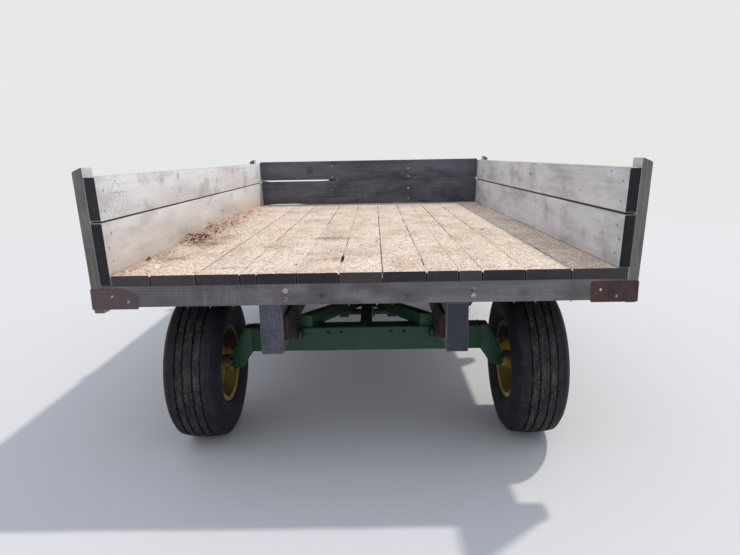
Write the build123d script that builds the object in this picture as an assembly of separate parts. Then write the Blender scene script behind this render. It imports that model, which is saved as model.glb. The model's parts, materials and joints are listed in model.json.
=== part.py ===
from build123d import *
from math import asin, atan, atan2, cos, degrees, hypot, sin
import os

# A four-wheel farm dump wagon: a plank box on two sills, tipping about hinges behind the rear axle.
# X to the right, Y forward, Z up, in mm. Places along the wagon are measured from the bed's rear face
# and shifted at the end, so that the origin is the middle of the wagon's outline on the ground.

# Wheels and axles. Places on a wheel run along its axle from the wheel's middle, outward positive.
tyre_radius = 390.0
tyre_half = 139.5
tread_half = 108.0
track = 1704.0
rear_axle_y = 460.0
wheelbase = 2500.0
bead_radius = 190.0
rim_half = 102.0
rim_thick = 6.0
well_depth = 18.0
flange_tall = 16.0
flange_lip = 8.0
disc_plane = 30.0
spindle_radius = 25.0
hub_wall = 18.0
hub_clearance = 12.0
hub_flange_radius = 92.0
hub_flange_thick = 12.0
spindle_reach = 53.0
cap_length = 22.0
beam_rise = 203.0
beam_tall = 130.0
beam_deep = 100.0
beam_corner = 8.0
bolt_hole_radius = 9.0
bolt_hole_drop = 25.0
bolt_hole_deep = 15.0
reach_half = 32.0
reach_tall = 64.0
hound_tall = 66.0
hound_inner_x = 285.0
hound_wide = 77.0
hound_reach = 477.0
hound_tip = 30.0

# Bed timbers
bed_length = 3660.0
wall_inner = 1125.0
wall_board = 48.0
wall_lean = 18.0
plank_thick = 48.0
plank_gap = 3.0
cross_tall = 97.0
cross_wide = 98.0
cross_count = 5
sill_inner = 373.0
sill_wide = 98.0
sill_tall = 233.0
lower_board_tall = 235.0
board_gap = 7.0
upper_board_tall = 193.0
stake_thick = 46.0
stake_deep = 95.0
stake_below = 26.0
end_stake_rise = 39.0
mid_stake_drop = 26.0
stake_corner_x = 22.0
stake_corner_z = 20.0
deck_hole_y = 302.0
deck_hole_long = 60.0
deck_hole_wide = 24.0
plate_thick = 6.0
plate_wide = 209.0
plate_below = 8.0
plate_tall = 95.0
plate_cut_wide = 35.0
plate_cut_tall = 16.0
head_thick = 48.0
head_lift = 21.0
head_plank_tall = 217.0
head_gap = 20.0
head_upper_tall = 191.0
head_clearance = 2.0
upright_x = 385.0
upright_wide = 80.0
upright_thick = 48.0

# Steel on the bed and the beams
bolster_thick = 12.0
bolster_deep = 60.0
bolster_rise = 125.0
bolster_foot = 62.0
bolster_gap = 9.0
hinge_back = 50.0
hinge_drop = 18.0
hinge_eye = 27.0
hinge_pin_radius = 12.0
hinge_plate_thick = 20.0
hinge_plate_long = 345.0
hinge_plate_ahead = 45.0
hinge_plate_tall = 167.0
hinge_lug_thick = 16.0

# Hoist
hoist_ahead = 740.0
hoist_low_drop = 89.0
hoist_beam_gap = 14.5
hoist_high_drop = 91.0
hoist_x = 160.0
barrel_radius = 45.0
gland_radius = 50.0
gland_long = 60.0
port_radius = 12.0
port_tall = 14.0
rod_radius = 22.0
rod_room = 148.0
eye_radius = 36.0
high_eye_radius = 30.0
eye_wide = 60.0
hoist_pin_radius = 20.0
bracket_thick = 12.0
bracket_long = 120.0
lug_thick = 12.0
high_beam_tall = 50.0
high_beam_deep = 100.0

# Steering
kingpin_inset = 192.0
kingpin_radius = 15.0
boss_radius = 36.0
boss_half = 43.0
ear_gap = 5.0
ear_thick = 20.0
web_half_y = 45.0
arm_reach = 180.0
arm_offset = 35.0
arm_half = 22.0
stud_radius = 8.0
rod_end_radius = 20.0
rod_end_tall = 24.0
tie_rod_radius = 9.0
tie_gap = 2.0
steer_pin_radius = 20.0
steer_pin_sink = 30.0
steer_head_wide = 15.0
steer_plate_rear = 60.0

# Tongue
tongue_root_half = 40.0
tongue_ear_thick = 14.0
tongue_eye = 30.0
tongue_pin_radius = 12.0
tongue_half = 32.0
tongue_corner = 7.0
tongue_length = 1900.0
clevis_radius = 35.0
clevis_thick = 12.0
clevis_long = 120.0
hitch_hole = 13.0

# Clearances
seat_gap = 0.3
move_gap = 6.0
pin_gap = 0.5

# Heights, from the ground up
wheel_z = tyre_radius
beam_top = wheel_z + beam_rise
beam_low = beam_top - beam_tall
sill_low = beam_top
cross_low = sill_low + sill_tall
deck_bottom = cross_low + cross_tall
deck_top = deck_bottom + plank_thick
lower_board_top = deck_top + lower_board_tall
upper_board_low = lower_board_top + board_gap
upper_board_top = upper_board_low + upper_board_tall
stake_foot = cross_low - stake_below
arm_z = wheel_z + boss_half + ear_gap
arm_top = arm_z + ear_thick
ear_bottom = wheel_z - boss_half - ear_gap - ear_thick

# Places across
wheel_x = track / 2
kingpin_x = wheel_x - kingpin_inset
web_inner = kingpin_x + boss_radius + move_gap
web_outer = web_inner + ear_thick
beam_half = kingpin_x - boss_radius - ear_thick
front_beam_half = beam_half - boss_radius
hub_inner = web_outer + hub_clearance - wheel_x
spindle_end = wheel_x + spindle_reach
hub_bore = spindle_radius + pin_gap
hub_radius = hub_bore + hub_wall
rim_bore = bead_radius - rim_thick
flange_radius = bead_radius + flange_tall
well_radius = bead_radius - well_depth
flange_half = rim_half + flange_lip

# Places along
front_axle_y = rear_axle_y + wheelbase
beam_rear = rear_axle_y - beam_deep / 2
beam_front = rear_axle_y + beam_deep / 2
front_beam_rear = front_axle_y - beam_deep / 2
front_beam_front = front_axle_y + beam_deep / 2
hinge_y = beam_rear - hinge_back
hinge_z = sill_low - hinge_drop
hoist_low_y = beam_front + hoist_ahead
hoist_low_z = beam_top - reach_tall - hoist_low_drop
cross_step = (bed_length - cross_wide) / (cross_count - 1)
cross_starts = [cross_step * place for place in range(cross_count)]
hoist_high_y = cross_starts[3] - hoist_beam_gap - high_beam_deep / 2
hoist_high_z = cross_low - hoist_high_drop
steer_plate_front = arm_reach + rod_end_radius + ear_thick
tongue_ear_inner = tongue_root_half + move_gap
tongue_ear_outer = tongue_ear_inner + tongue_ear_thick
tongue_y = front_axle_y + steer_plate_front + tongue_eye + ear_gap
tongue_z = arm_z + ear_thick / 2
tongue_tip = tongue_length + clevis_radius
rest_tilt = asin(tongue_z / hypot(tongue_tip, tongue_half)) - atan(tongue_half / tongue_tip)
front_end_y = tongue_y + tongue_tip * cos(rest_tilt) + tongue_half * sin(rest_tilt)
middle_y = (front_end_y - plate_thick) / 2

os.makedirs("parts", exist_ok=True)


def save(name, *solids):
    whole = Compound(children=[Pos(0, -middle_y, 0) * solid for solid in solids])
    export_step(whole, f"parts/{name}.step")


def block(low_x, high_x, low_y, high_y, low_z, high_z):
    centre = Pos((low_x + high_x) / 2, (low_y + high_y) / 2, (low_z + high_z) / 2)
    return centre * Box(high_x - low_x, high_y - low_y, high_z - low_z)


def along_x(points, low_x, high_x):
    face = make_face(Plane.YZ * Polyline(*points, close=True))
    return Pos(low_x, 0, 0) * extrude(face, high_x - low_x, dir=(1, 0, 0))


def along_y(points, low_y, high_y):
    face = make_face(Plane.XZ * Polyline(*points, close=True))
    return Pos(0, low_y, 0) * extrude(face, high_y - low_y, dir=(0, 1, 0))


def along_z(points, low_z, high_z):
    face = make_face(Polyline(*points, close=True))
    return Pos(0, 0, low_z) * extrude(face, high_z - low_z, dir=(0, 0, 1))


def pin_x(radius, low_x, high_x, y, z):
    return Pos((low_x + high_x) / 2, y, z) * Rot(0, 90, 0) * Cylinder(radius, high_x - low_x)


def pin_y(radius, x, low_y, high_y, z):
    return Pos(x, (low_y + high_y) / 2, z) * Rot(90, 0, 0) * Cylinder(radius, high_y - low_y)


def pin_z(radius, x, y, low_z, high_z):
    return Pos(x, y, (low_z + high_z) / 2) * Cylinder(radius, high_z - low_z)


def rounded(solid, axis, radius):
    return fillet(solid.edges().filter_by(axis), radius)


def other_side(solid):
    return mirror(solid, about=Plane.YZ)


def both_sides(name, solid):
    save(name, solid, other_side(solid))


# Bed timbers
def wall_x(z):
    return wall_inner + wall_lean * (z - deck_top) / (upper_board_top - deck_top)


def leaning(low_z, high_z, out_low, out_high):
    return [
        (wall_x(low_z) + out_low, low_z),
        (wall_x(low_z) + out_high, low_z),
        (wall_x(high_z) + out_high, high_z),
        (wall_x(high_z) + out_low, high_z),
    ]


cross_half = wall_x(stake_foot) + wall_board - head_clearance
both_sides("sills", block(sill_inner, sill_inner + sill_wide, 0, bed_length, sill_low, cross_low))
members = [block(-cross_half, cross_half, y, y + cross_wide, cross_low, deck_bottom) for y in cross_starts]
save("rear_cross_beam", members[0])
save("cross_members", *members[1:])

left_edge = -(wall_x(deck_bottom) - seat_gap)
inner_seams = [-948, -744, -549, -474, -297, -109, 86, 281, 424, 528, 719, 921]
plank_starts = [left_edge] + [seam + plank_gap / 2 for seam in inner_seams]
plank_stops = [seam - plank_gap / 2 for seam in inner_seams] + [cross_half]
hole_x = inner_seams[5]
deck_hole = block(
    hole_x - deck_hole_wide / 2,
    hole_x + deck_hole_wide / 2,
    deck_hole_y,
    deck_hole_y + deck_hole_long,
    deck_bottom,
    deck_top,
)
planks = [
    block(start, stop, 0, bed_length, deck_bottom, deck_top) - deck_hole
    for start, stop in zip(plank_starts, plank_stops)
]
save("deck_planks", *planks)

# the left lower board stands on the cross members beside the deck, the right one on the deck
left_low = along_y(leaning(deck_bottom, lower_board_top, 0, wall_board), 0, bed_length)
right_low = along_y(leaning(deck_top, lower_board_top, 0, wall_board), 0, bed_length)
upper = along_y(leaning(upper_board_low, upper_board_top, 0, wall_board), 0, bed_length)
save("side_boards_left", other_side(left_low), other_side(upper))
save("side_boards_right", right_low, upper)


def stake(low_y, top):
    profile = leaning(stake_foot, top, wall_board, wall_board + stake_thick)
    low_in, low_out, high_out, high_in = profile
    clipped = [
        low_in,
        low_out,
        (high_out[0], high_out[1] - stake_corner_z),
        (high_out[0] - stake_corner_x, high_out[1]),
        high_in,
    ]
    return along_y(clipped, low_y, low_y + stake_deep)


stake_places = [
    (0, upper_board_top + end_stake_rise),
    (cross_starts[2], upper_board_top - mid_stake_drop),
    (bed_length - stake_deep, upper_board_top + end_stake_rise),
]
stakes = [stake(low_y, top) for low_y, top in stake_places]
save("stakes_right", *stakes)
save("stakes_left", *[other_side(one) for one in stakes])

plate_low = cross_low - plate_below
plate_outer = wall_x(plate_low) + wall_board + stake_thick + plate_thick
plate_inner = plate_outer - plate_wide
plate_high = plate_low + plate_tall
rear_plate = block(plate_inner, plate_outer, -plate_thick, 0, plate_low, plate_high)
front_plate = Pos(0, bed_length + plate_thick, 0) * rear_plate
cut_points = [
    (-plate_inner, plate_low),
    (-plate_outer, plate_low),
    (-plate_outer, plate_high),
    (-plate_inner - plate_cut_wide, plate_high),
    (-plate_inner, plate_high - plate_cut_tall),
]
cut_plate = along_y(cut_points, -plate_thick, 0)
save("corner_plates", rear_plate, cut_plate, front_plate, other_side(front_plate))

head_low = deck_top + head_lift
head_half = wall_x(head_low) - head_clearance
head_middle = head_low + head_plank_tall
head_rows = [
    (head_low, head_middle),
    (head_middle + head_gap, head_middle + head_gap + head_upper_tall),
]
head_rear = bed_length - head_thick
head_planks = [block(-head_half, head_half, head_rear, bed_length, low, high) for low, high in head_rows]
save("headboard_planks", *head_planks)
upright_inner = upright_x - upright_wide / 2
upright_front = bed_length + upright_thick
upright_top = head_rows[1][1]
upright_outer = upright_inner + upright_wide
upright = block(upright_inner, upright_outer, bed_length, upright_front, cross_low, upright_top)
both_sides("headboard_uprights", upright)

# Dump hinge
plate_high_x = sill_inner - seat_gap
plate_low_x = plate_high_x - hinge_plate_thick
hinge_front = hinge_y + hinge_plate_ahead
hinge_rear = hinge_front - hinge_plate_long
hinge_hole = hinge_pin_radius + pin_gap
hinge_plate_top = sill_low + hinge_plate_tall
hinge_plate = block(plate_low_x, plate_high_x, hinge_rear, hinge_front, sill_low, hinge_plate_top)
hinge_plate = rounded(hinge_plate, Axis.X, beam_corner)
neck_rear = hinge_y - hinge_eye
neck_front = hinge_y + hinge_eye
hinge_plate += block(plate_low_x, plate_high_x, neck_rear, neck_front, hinge_z, beam_top + hinge_eye)
hinge_plate += pin_x(hinge_eye, plate_low_x, plate_high_x, hinge_y, hinge_z)
hinge_plate -= pin_x(hinge_hole, plate_low_x, plate_high_x, hinge_y, hinge_z)
both_sides("hinge_plates", hinge_plate)

lug_outer = plate_low_x - move_gap
lug_inner = lug_outer - hinge_lug_thick
lug = block(lug_inner, lug_outer, hinge_y, beam_rear, hinge_z - hinge_eye, beam_top - beam_corner)
lug += pin_x(hinge_eye, lug_inner, lug_outer, hinge_y, hinge_z)
lug -= pin_x(hinge_hole, lug_inner, lug_outer, hinge_y, hinge_z)
both_sides("hinge_lugs", lug)
pin_head = lug_inner - seat_gap
hinge_pin = pin_x(hinge_pin_radius, pin_head - ear_gap, plate_high_x, hinge_y, hinge_z)
hinge_pin += pin_x(hinge_pin_radius + ear_gap, pin_head - ear_gap, pin_head, hinge_y, hinge_z)
both_sides("hinge_pins", hinge_pin)

# Axle beams, brackets and spindles
rear_beam = block(-beam_half, beam_half, beam_rear, beam_front, beam_low, beam_top)
rear_beam = rounded(rear_beam, Axis.X, beam_corner)
for hole_place in (130, 200):
    for side in (-1, 1):
        x = side * hole_place
        hole = pin_y(bolt_hole_radius, x, beam_rear, beam_rear + bolt_hole_deep, beam_top - bolt_hole_drop)
        rear_beam -= hole
save("rear_axle_beam", rear_beam)

# beyond the beam's end, from the wheel's centre up
rear_bracket_rows = [
    (0, beam_rise),
    (0, beam_rise - beam_tall),
    (26, 36),
    (56, -14),
    (114, -27),
    (114, 56),
    (84, 120),
    (42, beam_rise),
]
rear_bracket_points = [(beam_half + beyond, wheel_z + up) for beyond, up in rear_bracket_rows]
bracket_end = max(place[0] for place in rear_bracket_points)
rear_bracket = along_y(rear_bracket_points, beam_rear + beam_corner, beam_front - beam_corner)
both_sides("rear_axle_brackets", rear_bracket)
both_sides("rear_spindles", pin_x(spindle_radius, bracket_end, spindle_end, rear_axle_y, wheel_z))

front_beam = block(-front_beam_half, front_beam_half, front_beam_rear, front_beam_front, beam_low, beam_top)
front_beam = rounded(front_beam, Axis.X, beam_corner)
front_beam -= pin_z(steer_pin_radius, 0, front_axle_y, beam_low, beam_low + steer_pin_sink)
save("front_axle_beam", front_beam)

# beyond the beam's end, from the wheel's centre up
front_bracket_rows = [
    (0, beam_rise),
    (0, beam_rise - beam_tall),
    (-40, beam_rise - beam_tall),
    (-40, 35),
    (40, -boss_half),
    (100, -boss_half),
    (100, boss_half),
    (46, boss_half),
    (30, beam_rise - beam_tall),
    (15, beam_rise - beam_tall / 2),
]
front_bracket_scale = (kingpin_x - front_beam_half) / front_bracket_rows[5][0]
front_bracket_points = [
    (front_beam_half + beyond * front_bracket_scale, wheel_z + up) for beyond, up in front_bracket_rows
]
arm_rear = front_axle_y - boss_radius
arm_front = front_axle_y + boss_radius
boss_low = wheel_z - boss_half
boss_high = wheel_z + boss_half
front_bracket = along_y(front_bracket_points, arm_rear, arm_front)
front_bracket += pin_z(boss_radius, kingpin_x, front_axle_y, boss_low, boss_high)
front_bracket -= pin_z(kingpin_radius, kingpin_x, front_axle_y, boss_low, boss_high)
both_sides("front_axle_brackets", front_bracket)
kingpin_low = ear_bottom - ear_gap
kingpin_high = arm_top + ear_gap
kingpin = pin_z(kingpin_radius, kingpin_x, front_axle_y, kingpin_low, kingpin_high)
both_sides("kingpins", kingpin)

# Reach, bolster stakes, and hounds that lie on the axle beams and meet over the reach
reach = block(-reach_half, reach_half, beam_front, front_beam_rear, beam_top - reach_tall, beam_top)
save("reach_tube", rounded(reach, Axis.Y, beam_corner))


def hound(start_y, way):
    tip = start_y + way * hound_reach
    points = [
        (hound_inner_x, start_y),
        (hound_inner_x + hound_wide, start_y),
        (move_gap, tip),
        (move_gap, tip - way * hound_tip),
    ]
    return along_z(points, beam_top, beam_top + hound_tall)


both_sides("rear_hounds", hound(beam_rear + beam_corner, 1))
both_sides("front_hounds", hound(front_beam_front - beam_corner, -1))

bolster_inner = sill_inner + sill_wide + bolster_gap
bolster_points = [
    (bolster_inner, beam_top),
    (bolster_inner + bolster_foot, beam_top),
    (bolster_inner + bolster_thick, beam_top + bolster_rise),
    (bolster_inner, beam_top + bolster_rise),
]
bolsters = []
for middle in (rear_axle_y, front_axle_y):
    one = along_y(bolster_points, middle - bolster_deep / 2, middle + bolster_deep / 2)
    bolsters += [one, other_side(one)]
save("bolster_stakes", *bolsters)

# Hoist: bracket under the reach, two barrels and rods, a beam with lugs between the sills
hoist_hole = hoist_pin_radius + pin_gap
bracket_rear = hoist_low_y - bracket_long / 2
bracket_front = hoist_low_y + bracket_long / 2
bracket_outer = reach_half + bracket_thick
bracket_high = beam_top - beam_corner
reach_low = beam_top - reach_tall
cheek_points = [
    (bracket_rear, bracket_high),
    (bracket_rear, reach_low),
    (hoist_low_y - eye_radius, hoist_low_z),
    (hoist_low_y + eye_radius, hoist_low_z),
    (bracket_front, reach_low),
    (bracket_front, bracket_high),
]
cheek = along_x(cheek_points, reach_half, bracket_outer)
cheek += pin_x(eye_radius, reach_half, bracket_outer, hoist_low_y, hoist_low_z)
spacer = block(-reach_half, reach_half, bracket_rear, bracket_front, reach_low - ear_thick, reach_low)
hoist_bracket = cheek + other_side(cheek) + spacer
hoist_bracket -= pin_x(hoist_pin_radius, -bracket_outer, bracket_outer, hoist_low_y, hoist_low_z)
save("hoist_bracket", hoist_bracket)
shaft_half = hoist_x + eye_wide / 2 + ear_thick
save("hoist_low_shaft", pin_x(hoist_pin_radius, -shaft_half, shaft_half, hoist_low_y, hoist_low_z))

hoist_length = hypot(hoist_high_y - hoist_low_y, hoist_high_z - hoist_low_z)
hoist_angle = degrees(atan2(hoist_high_z - hoist_low_z, hoist_high_y - hoist_low_y))
eye_low_x = hoist_x - eye_wide / 2
eye_high_x = hoist_x + eye_wide / 2
barrel_start = eye_radius + ear_gap
barrel_stop = hoist_length - rod_room
rod_start = hoist_length / 2


def tilted(solid):
    return Pos(0, hoist_low_y, hoist_low_z) * Rot(hoist_angle, 0, 0) * solid


def port(y):
    return pin_z(port_radius, hoist_x, y, 0, barrel_radius + port_tall)


barrel = pin_y(barrel_radius, hoist_x, barrel_start, barrel_stop, 0)
barrel += pin_y(gland_radius, hoist_x, barrel_start, barrel_start + gland_long / 2, 0)
barrel += pin_y(gland_radius, hoist_x, barrel_stop - gland_long, barrel_stop, 0)
barrel += port(barrel_start + gland_long)
barrel -= pin_y(rod_radius + tie_gap, hoist_x, rod_start - eye_radius, barrel_stop, 0)
barrel += block(eye_low_x, eye_high_x, 0, barrel_start, -eye_radius / 2, eye_radius / 2)
barrel += pin_x(eye_radius, eye_low_x, eye_high_x, 0, 0)
barrel -= pin_x(hoist_hole, eye_low_x, eye_high_x, 0, 0)
both_sides("hoist_barrels", tilted(barrel))

lug_low_x = eye_low_x - pin_gap - lug_thick
lug_high_x = eye_high_x + pin_gap + lug_thick
rod = pin_y(rod_radius, hoist_x, rod_start, hoist_length, 0)
rod += pin_x(high_eye_radius, eye_low_x, eye_high_x, hoist_length, 0)
both_sides("hoist_rods", tilted(rod))

high_beam_low = cross_low - high_beam_tall
high_beam_rear = hoist_high_y - high_beam_deep / 2
high_beam_end = sill_inner - seat_gap
high_beam_front = high_beam_rear + high_beam_deep
high_beam = block(-high_beam_end, high_beam_end, high_beam_rear, high_beam_front, high_beam_low, cross_low)
save("hoist_high_beam", rounded(high_beam, Axis.X, beam_corner))
high_lug_rear = hoist_high_y - high_eye_radius
high_lug_front = hoist_high_y + high_eye_radius
high_lugs = []
for low_x in (lug_low_x, eye_high_x + pin_gap):
    high_x = low_x + lug_thick
    one = block(low_x, high_x, high_lug_rear, high_lug_front, hoist_high_z, high_beam_low)
    one += pin_x(high_eye_radius, low_x, high_x, hoist_high_y, hoist_high_z)
    high_lugs += [one, other_side(one)]
for low_x in (lug_low_x - ear_gap, lug_high_x):
    boss = pin_x(hoist_pin_radius, low_x, low_x + ear_gap, hoist_high_y, hoist_high_z)
    place = 0 if low_x < hoist_x else 2
    high_lugs[place] += boss
    high_lugs[place + 1] += other_side(boss)
save("hoist_lugs", *high_lugs)

# Knuckles
knuckle_ear_points = [
    (kingpin_x, front_axle_y - boss_radius),
    (web_outer, front_axle_y - web_half_y),
    (web_outer, front_axle_y + web_half_y),
    (kingpin_x, front_axle_y + boss_radius),
]


def knuckle_ear(low_z):
    ear = along_z(knuckle_ear_points, low_z, low_z + ear_thick)
    return ear + pin_z(boss_radius, kingpin_x, front_axle_y, low_z, low_z + ear_thick)


arm_tip_x = kingpin_x + arm_offset
arm_tip_y = front_axle_y + arm_reach
stud_hole = stud_radius + pin_gap
arm_points = [
    (kingpin_x - arm_half, front_axle_y),
    (kingpin_x + arm_half, front_axle_y),
    (arm_tip_x + arm_half, arm_tip_y),
    (arm_tip_x - arm_half, arm_tip_y),
]
web = block(web_inner, web_outer, front_axle_y - web_half_y, front_axle_y + web_half_y, ear_bottom, arm_top)
knuckle = knuckle_ear(ear_bottom) + knuckle_ear(arm_z) + web
knuckle += along_z(arm_points, arm_z, arm_top) + pin_z(arm_half, arm_tip_x, arm_tip_y, arm_z, arm_top)
knuckle += pin_x(spindle_radius, web_inner, spindle_end, front_axle_y, wheel_z)
knuckle -= pin_z(kingpin_radius + pin_gap, kingpin_x, front_axle_y, ear_bottom, arm_top)
knuckle -= pin_z(stud_hole, arm_tip_x, arm_tip_y, arm_z, arm_top)
save("knuckle_right", knuckle)
save("knuckle_left", other_side(knuckle))

# Steering plate, its pin and the tie rods
plate_front_y = front_axle_y + steer_plate_front
plate_rear_y = front_axle_y - steer_plate_rear
steer = block(-tongue_ear_outer, tongue_ear_outer, plate_rear_y, plate_front_y, arm_z, arm_top)
steer = rounded(steer, Axis.Z, arm_half)
ear_low = tongue_z - tongue_eye
ear_high = tongue_z + tongue_eye
ear_rear = plate_front_y - arm_half * 2
ear_root = plate_front_y - ear_gap
tongue_ear = block(tongue_ear_inner, tongue_ear_outer, ear_root, tongue_y, ear_low, ear_high)
tongue_ear += block(tongue_ear_inner, tongue_ear_outer, ear_rear, plate_front_y, arm_z, arm_top)
tongue_ear += pin_x(tongue_eye, tongue_ear_inner, tongue_ear_outer, tongue_y, tongue_z)
tongue_ear -= pin_x(tongue_pin_radius, tongue_ear_inner, tongue_ear_outer, tongue_y, tongue_z)
steer += tongue_ear + other_side(tongue_ear)
steer -= pin_z(steer_pin_radius + pin_gap, 0, front_axle_y, arm_z, arm_top)
for side in (-1, 1):
    steer -= pin_z(stud_hole, side * arm_offset, arm_tip_y, arm_z, arm_top)
save("steering_plate", steer)
steer_head_top = arm_z - ear_gap
steer_pin = pin_z(steer_pin_radius, 0, front_axle_y, steer_head_top, beam_low + steer_pin_sink)
steer_head_radius = steer_pin_radius + steer_head_wide
steer_pin += pin_z(steer_head_radius, 0, front_axle_y, steer_head_top - ear_thick, steer_head_top)
save("steering_pin", steer_pin)
save("tongue_pin", pin_x(tongue_pin_radius, -tongue_ear_outer, tongue_ear_outer, tongue_y, tongue_z))

rod_end_low = arm_top + tie_gap
rod_end_mid = rod_end_low + rod_end_tall / 2
tie_rod = pin_x(tie_rod_radius, arm_offset, arm_tip_x, arm_tip_y, rod_end_mid)
for x in (arm_offset, arm_tip_x):
    tie_rod += pin_z(rod_end_radius, x, arm_tip_y, rod_end_low, rod_end_low + rod_end_tall)
    tie_rod += pin_z(stud_radius, x, arm_tip_y, arm_z - ear_gap, rod_end_mid)
save("tie_rod_right", tie_rod)
save("tie_rod_left", other_side(tie_rod))

# Tongue, drawn level along Y from its pin, then laid down until its end rests on the ground
clevis_rear = tongue_length - clevis_long
tongue_front = clevis_rear + clevis_radius
tongue = block(-tongue_half, tongue_half, tongue_eye, tongue_front, -tongue_half, tongue_half)
tongue = rounded(tongue, Axis.Y, tongue_corner)
tongue += block(-tongue_root_half, tongue_root_half, 0, tongue_eye * 2, -tongue_eye, tongue_eye)
tongue += pin_x(tongue_eye, -tongue_root_half, tongue_root_half, 0, 0)
tongue += block(-clevis_radius, clevis_radius, clevis_rear, tongue_length, -tongue_half, tongue_half)
tongue += pin_z(clevis_radius, 0, tongue_length, -tongue_half, tongue_half)
slot_half = tongue_half - clevis_thick
slot_rear = tongue_length - clevis_long / 2
tongue -= block(-clevis_radius, clevis_radius, slot_rear, tongue_tip, -slot_half, slot_half)
tongue -= pin_z(hitch_hole, 0, tongue_length, -tongue_half, tongue_half)
tongue -= pin_x(tongue_pin_radius + pin_gap, -tongue_root_half, tongue_root_half, 0, 0)
save("tongue", Pos(0, tongue_y, tongue_z) * Rot(-degrees(rest_tilt), 0, 0) * tongue)


# Wheels: a ribbed tyre, a dished rim and a hub with its cap
def turned(lines):
    return revolve(make_face(lines), Axis.X)


# one half of the tread, from the shoulder in: place along the axle, depth below the tyre's radius
rib_rows = [(66, 5), (64, 15), (57, 15), (55, 4), (29, 2), (27, 13), (20, 13), (18, 0)]
bead_seat = bead_radius + seat_gap
bead_side = rim_half - seat_gap
bead_foot = rim_half - rim_thick * 2
bead_top = flange_radius + ear_gap
shoulder = (tread_half, tyre_radius - hub_clearance)
widest = (tyre_half, (bead_top + tyre_radius) / 2)
tread = [(a, tyre_radius - depth) for a, depth in rib_rows]


def flip(point):
    return (-point[0], point[1])


def tyre_side(place):
    bead_corner = place((bead_side, bead_top))
    lines = [
        Line(place((bead_foot, bead_seat)), place((bead_side, bead_seat))),
        Line(place((bead_side, bead_seat)), bead_corner),
        ThreePointArc(bead_corner, place(widest), place(shoulder)),
    ]
    points = [place(point) for point in [shoulder] + tread]
    return lines + [Line(start, stop) for start, stop in zip(points, points[1:])]


tyre_lines = tyre_side(lambda point: point) + tyre_side(flip)
tyre_lines.append(Line(tread[-1], flip(tread[-1])))
tyre_lines.append(Line((bead_foot, bead_seat), flip((bead_foot, bead_seat))))
tyre = turned(tyre_lines)

well_in = well_radius - rim_thick
disc_face = disc_plane + rim_thick
rim_points = [
    (flange_half, flange_radius - rim_thick),
    (flange_half, flange_radius),
    (rim_half, flange_radius),
    (rim_half, bead_radius),
    (55, bead_radius),
    (40, well_radius),
    (-20, well_radius),
    (-35, bead_radius),
    (-rim_half, bead_radius),
    (-rim_half, flange_radius),
    (-flange_half, flange_radius),
    (-flange_half, rim_bore),
    (-37, rim_bore),
    (-22, well_in),
    (40, well_in),
    (disc_face + 10, 124),
    (disc_plane, 106),
    (disc_plane, hub_radius + pin_gap),
    (disc_face, hub_radius + pin_gap),
    (disc_face, 103),
    (disc_face + 16, 121),
    (48, well_in),
    (57, rim_bore),
    (flange_half - rim_thick, rim_bore),
]
rim = turned(Polyline(*rim_points, close=True))

hub_nose = spindle_reach + rim_thick
cap_radius = hub_radius - rim_thick
hub_points = [
    (hub_inner, hub_bore),
    (hub_inner, hub_radius),
    (disc_plane - hub_flange_thick, hub_radius),
    (disc_plane - hub_flange_thick, hub_flange_radius),
    (disc_plane, hub_flange_radius),
    (disc_plane, hub_radius),
    (hub_nose, hub_radius),
    (hub_nose, cap_radius),
    (hub_nose + cap_length, cap_radius - rim_thick),
    (hub_nose + cap_length, 0),
    (hub_nose, 0),
    (hub_nose, hub_bore),
]
hub = turned(Polyline(*hub_points, close=True))

for axle, axle_y in (("rear", rear_axle_y), ("front", front_axle_y)):
    for piece, solid in (("tyre", tyre), ("rim", rim), ("hub", hub)):
        right = Pos(wheel_x, axle_y, wheel_z) * solid
        save(f"{piece}_{axle}_right", right)
        save(f"{piece}_{axle}_left", other_side(right))
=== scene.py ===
import json
import random
from math import atan2, copysign, cos, exp, hypot, pi, radians, sin, tau

import bmesh
import bpy
from mathutils import Matrix, Vector, noise


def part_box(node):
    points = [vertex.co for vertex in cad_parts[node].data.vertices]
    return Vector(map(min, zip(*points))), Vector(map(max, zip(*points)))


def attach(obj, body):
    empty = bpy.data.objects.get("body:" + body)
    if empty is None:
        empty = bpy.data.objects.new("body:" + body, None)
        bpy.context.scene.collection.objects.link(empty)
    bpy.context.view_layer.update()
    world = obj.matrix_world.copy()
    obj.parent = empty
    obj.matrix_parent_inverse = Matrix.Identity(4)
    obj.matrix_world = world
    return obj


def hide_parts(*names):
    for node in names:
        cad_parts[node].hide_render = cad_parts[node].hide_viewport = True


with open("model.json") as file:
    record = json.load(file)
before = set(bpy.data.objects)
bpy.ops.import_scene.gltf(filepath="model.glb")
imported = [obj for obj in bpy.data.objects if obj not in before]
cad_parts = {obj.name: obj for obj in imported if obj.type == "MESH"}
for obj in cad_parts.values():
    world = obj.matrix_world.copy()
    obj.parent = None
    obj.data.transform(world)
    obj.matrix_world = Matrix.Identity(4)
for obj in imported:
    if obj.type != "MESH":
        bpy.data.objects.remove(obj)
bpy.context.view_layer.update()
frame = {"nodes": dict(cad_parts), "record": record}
print("frame loaded:", len(frame["nodes"]), "nodes")

sillLow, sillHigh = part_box("sills")
crossLow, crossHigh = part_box("rear_cross_beam")
bedRear = sillLow.y
bedFront = sillHigh.y
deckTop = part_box("deck_planks")[1].z


def seen(red, green, blue):
    # a colour as it looks on the screen, 0 to 255, turned into Blender's own scale
    parts = [value / 255 for value in (red, green, blue)]
    linear = [part / 12.92 if part < 0.04045 else ((part + 0.055) / 1.055) ** 2.4 for part in parts]
    return (*linear, 1.0)


def palette(look):
    # in the look of a finish, three numbers in round brackets are such a colour
    return {name: seen(*value) if isinstance(value, tuple) else value for name, value in look.items()}


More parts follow.
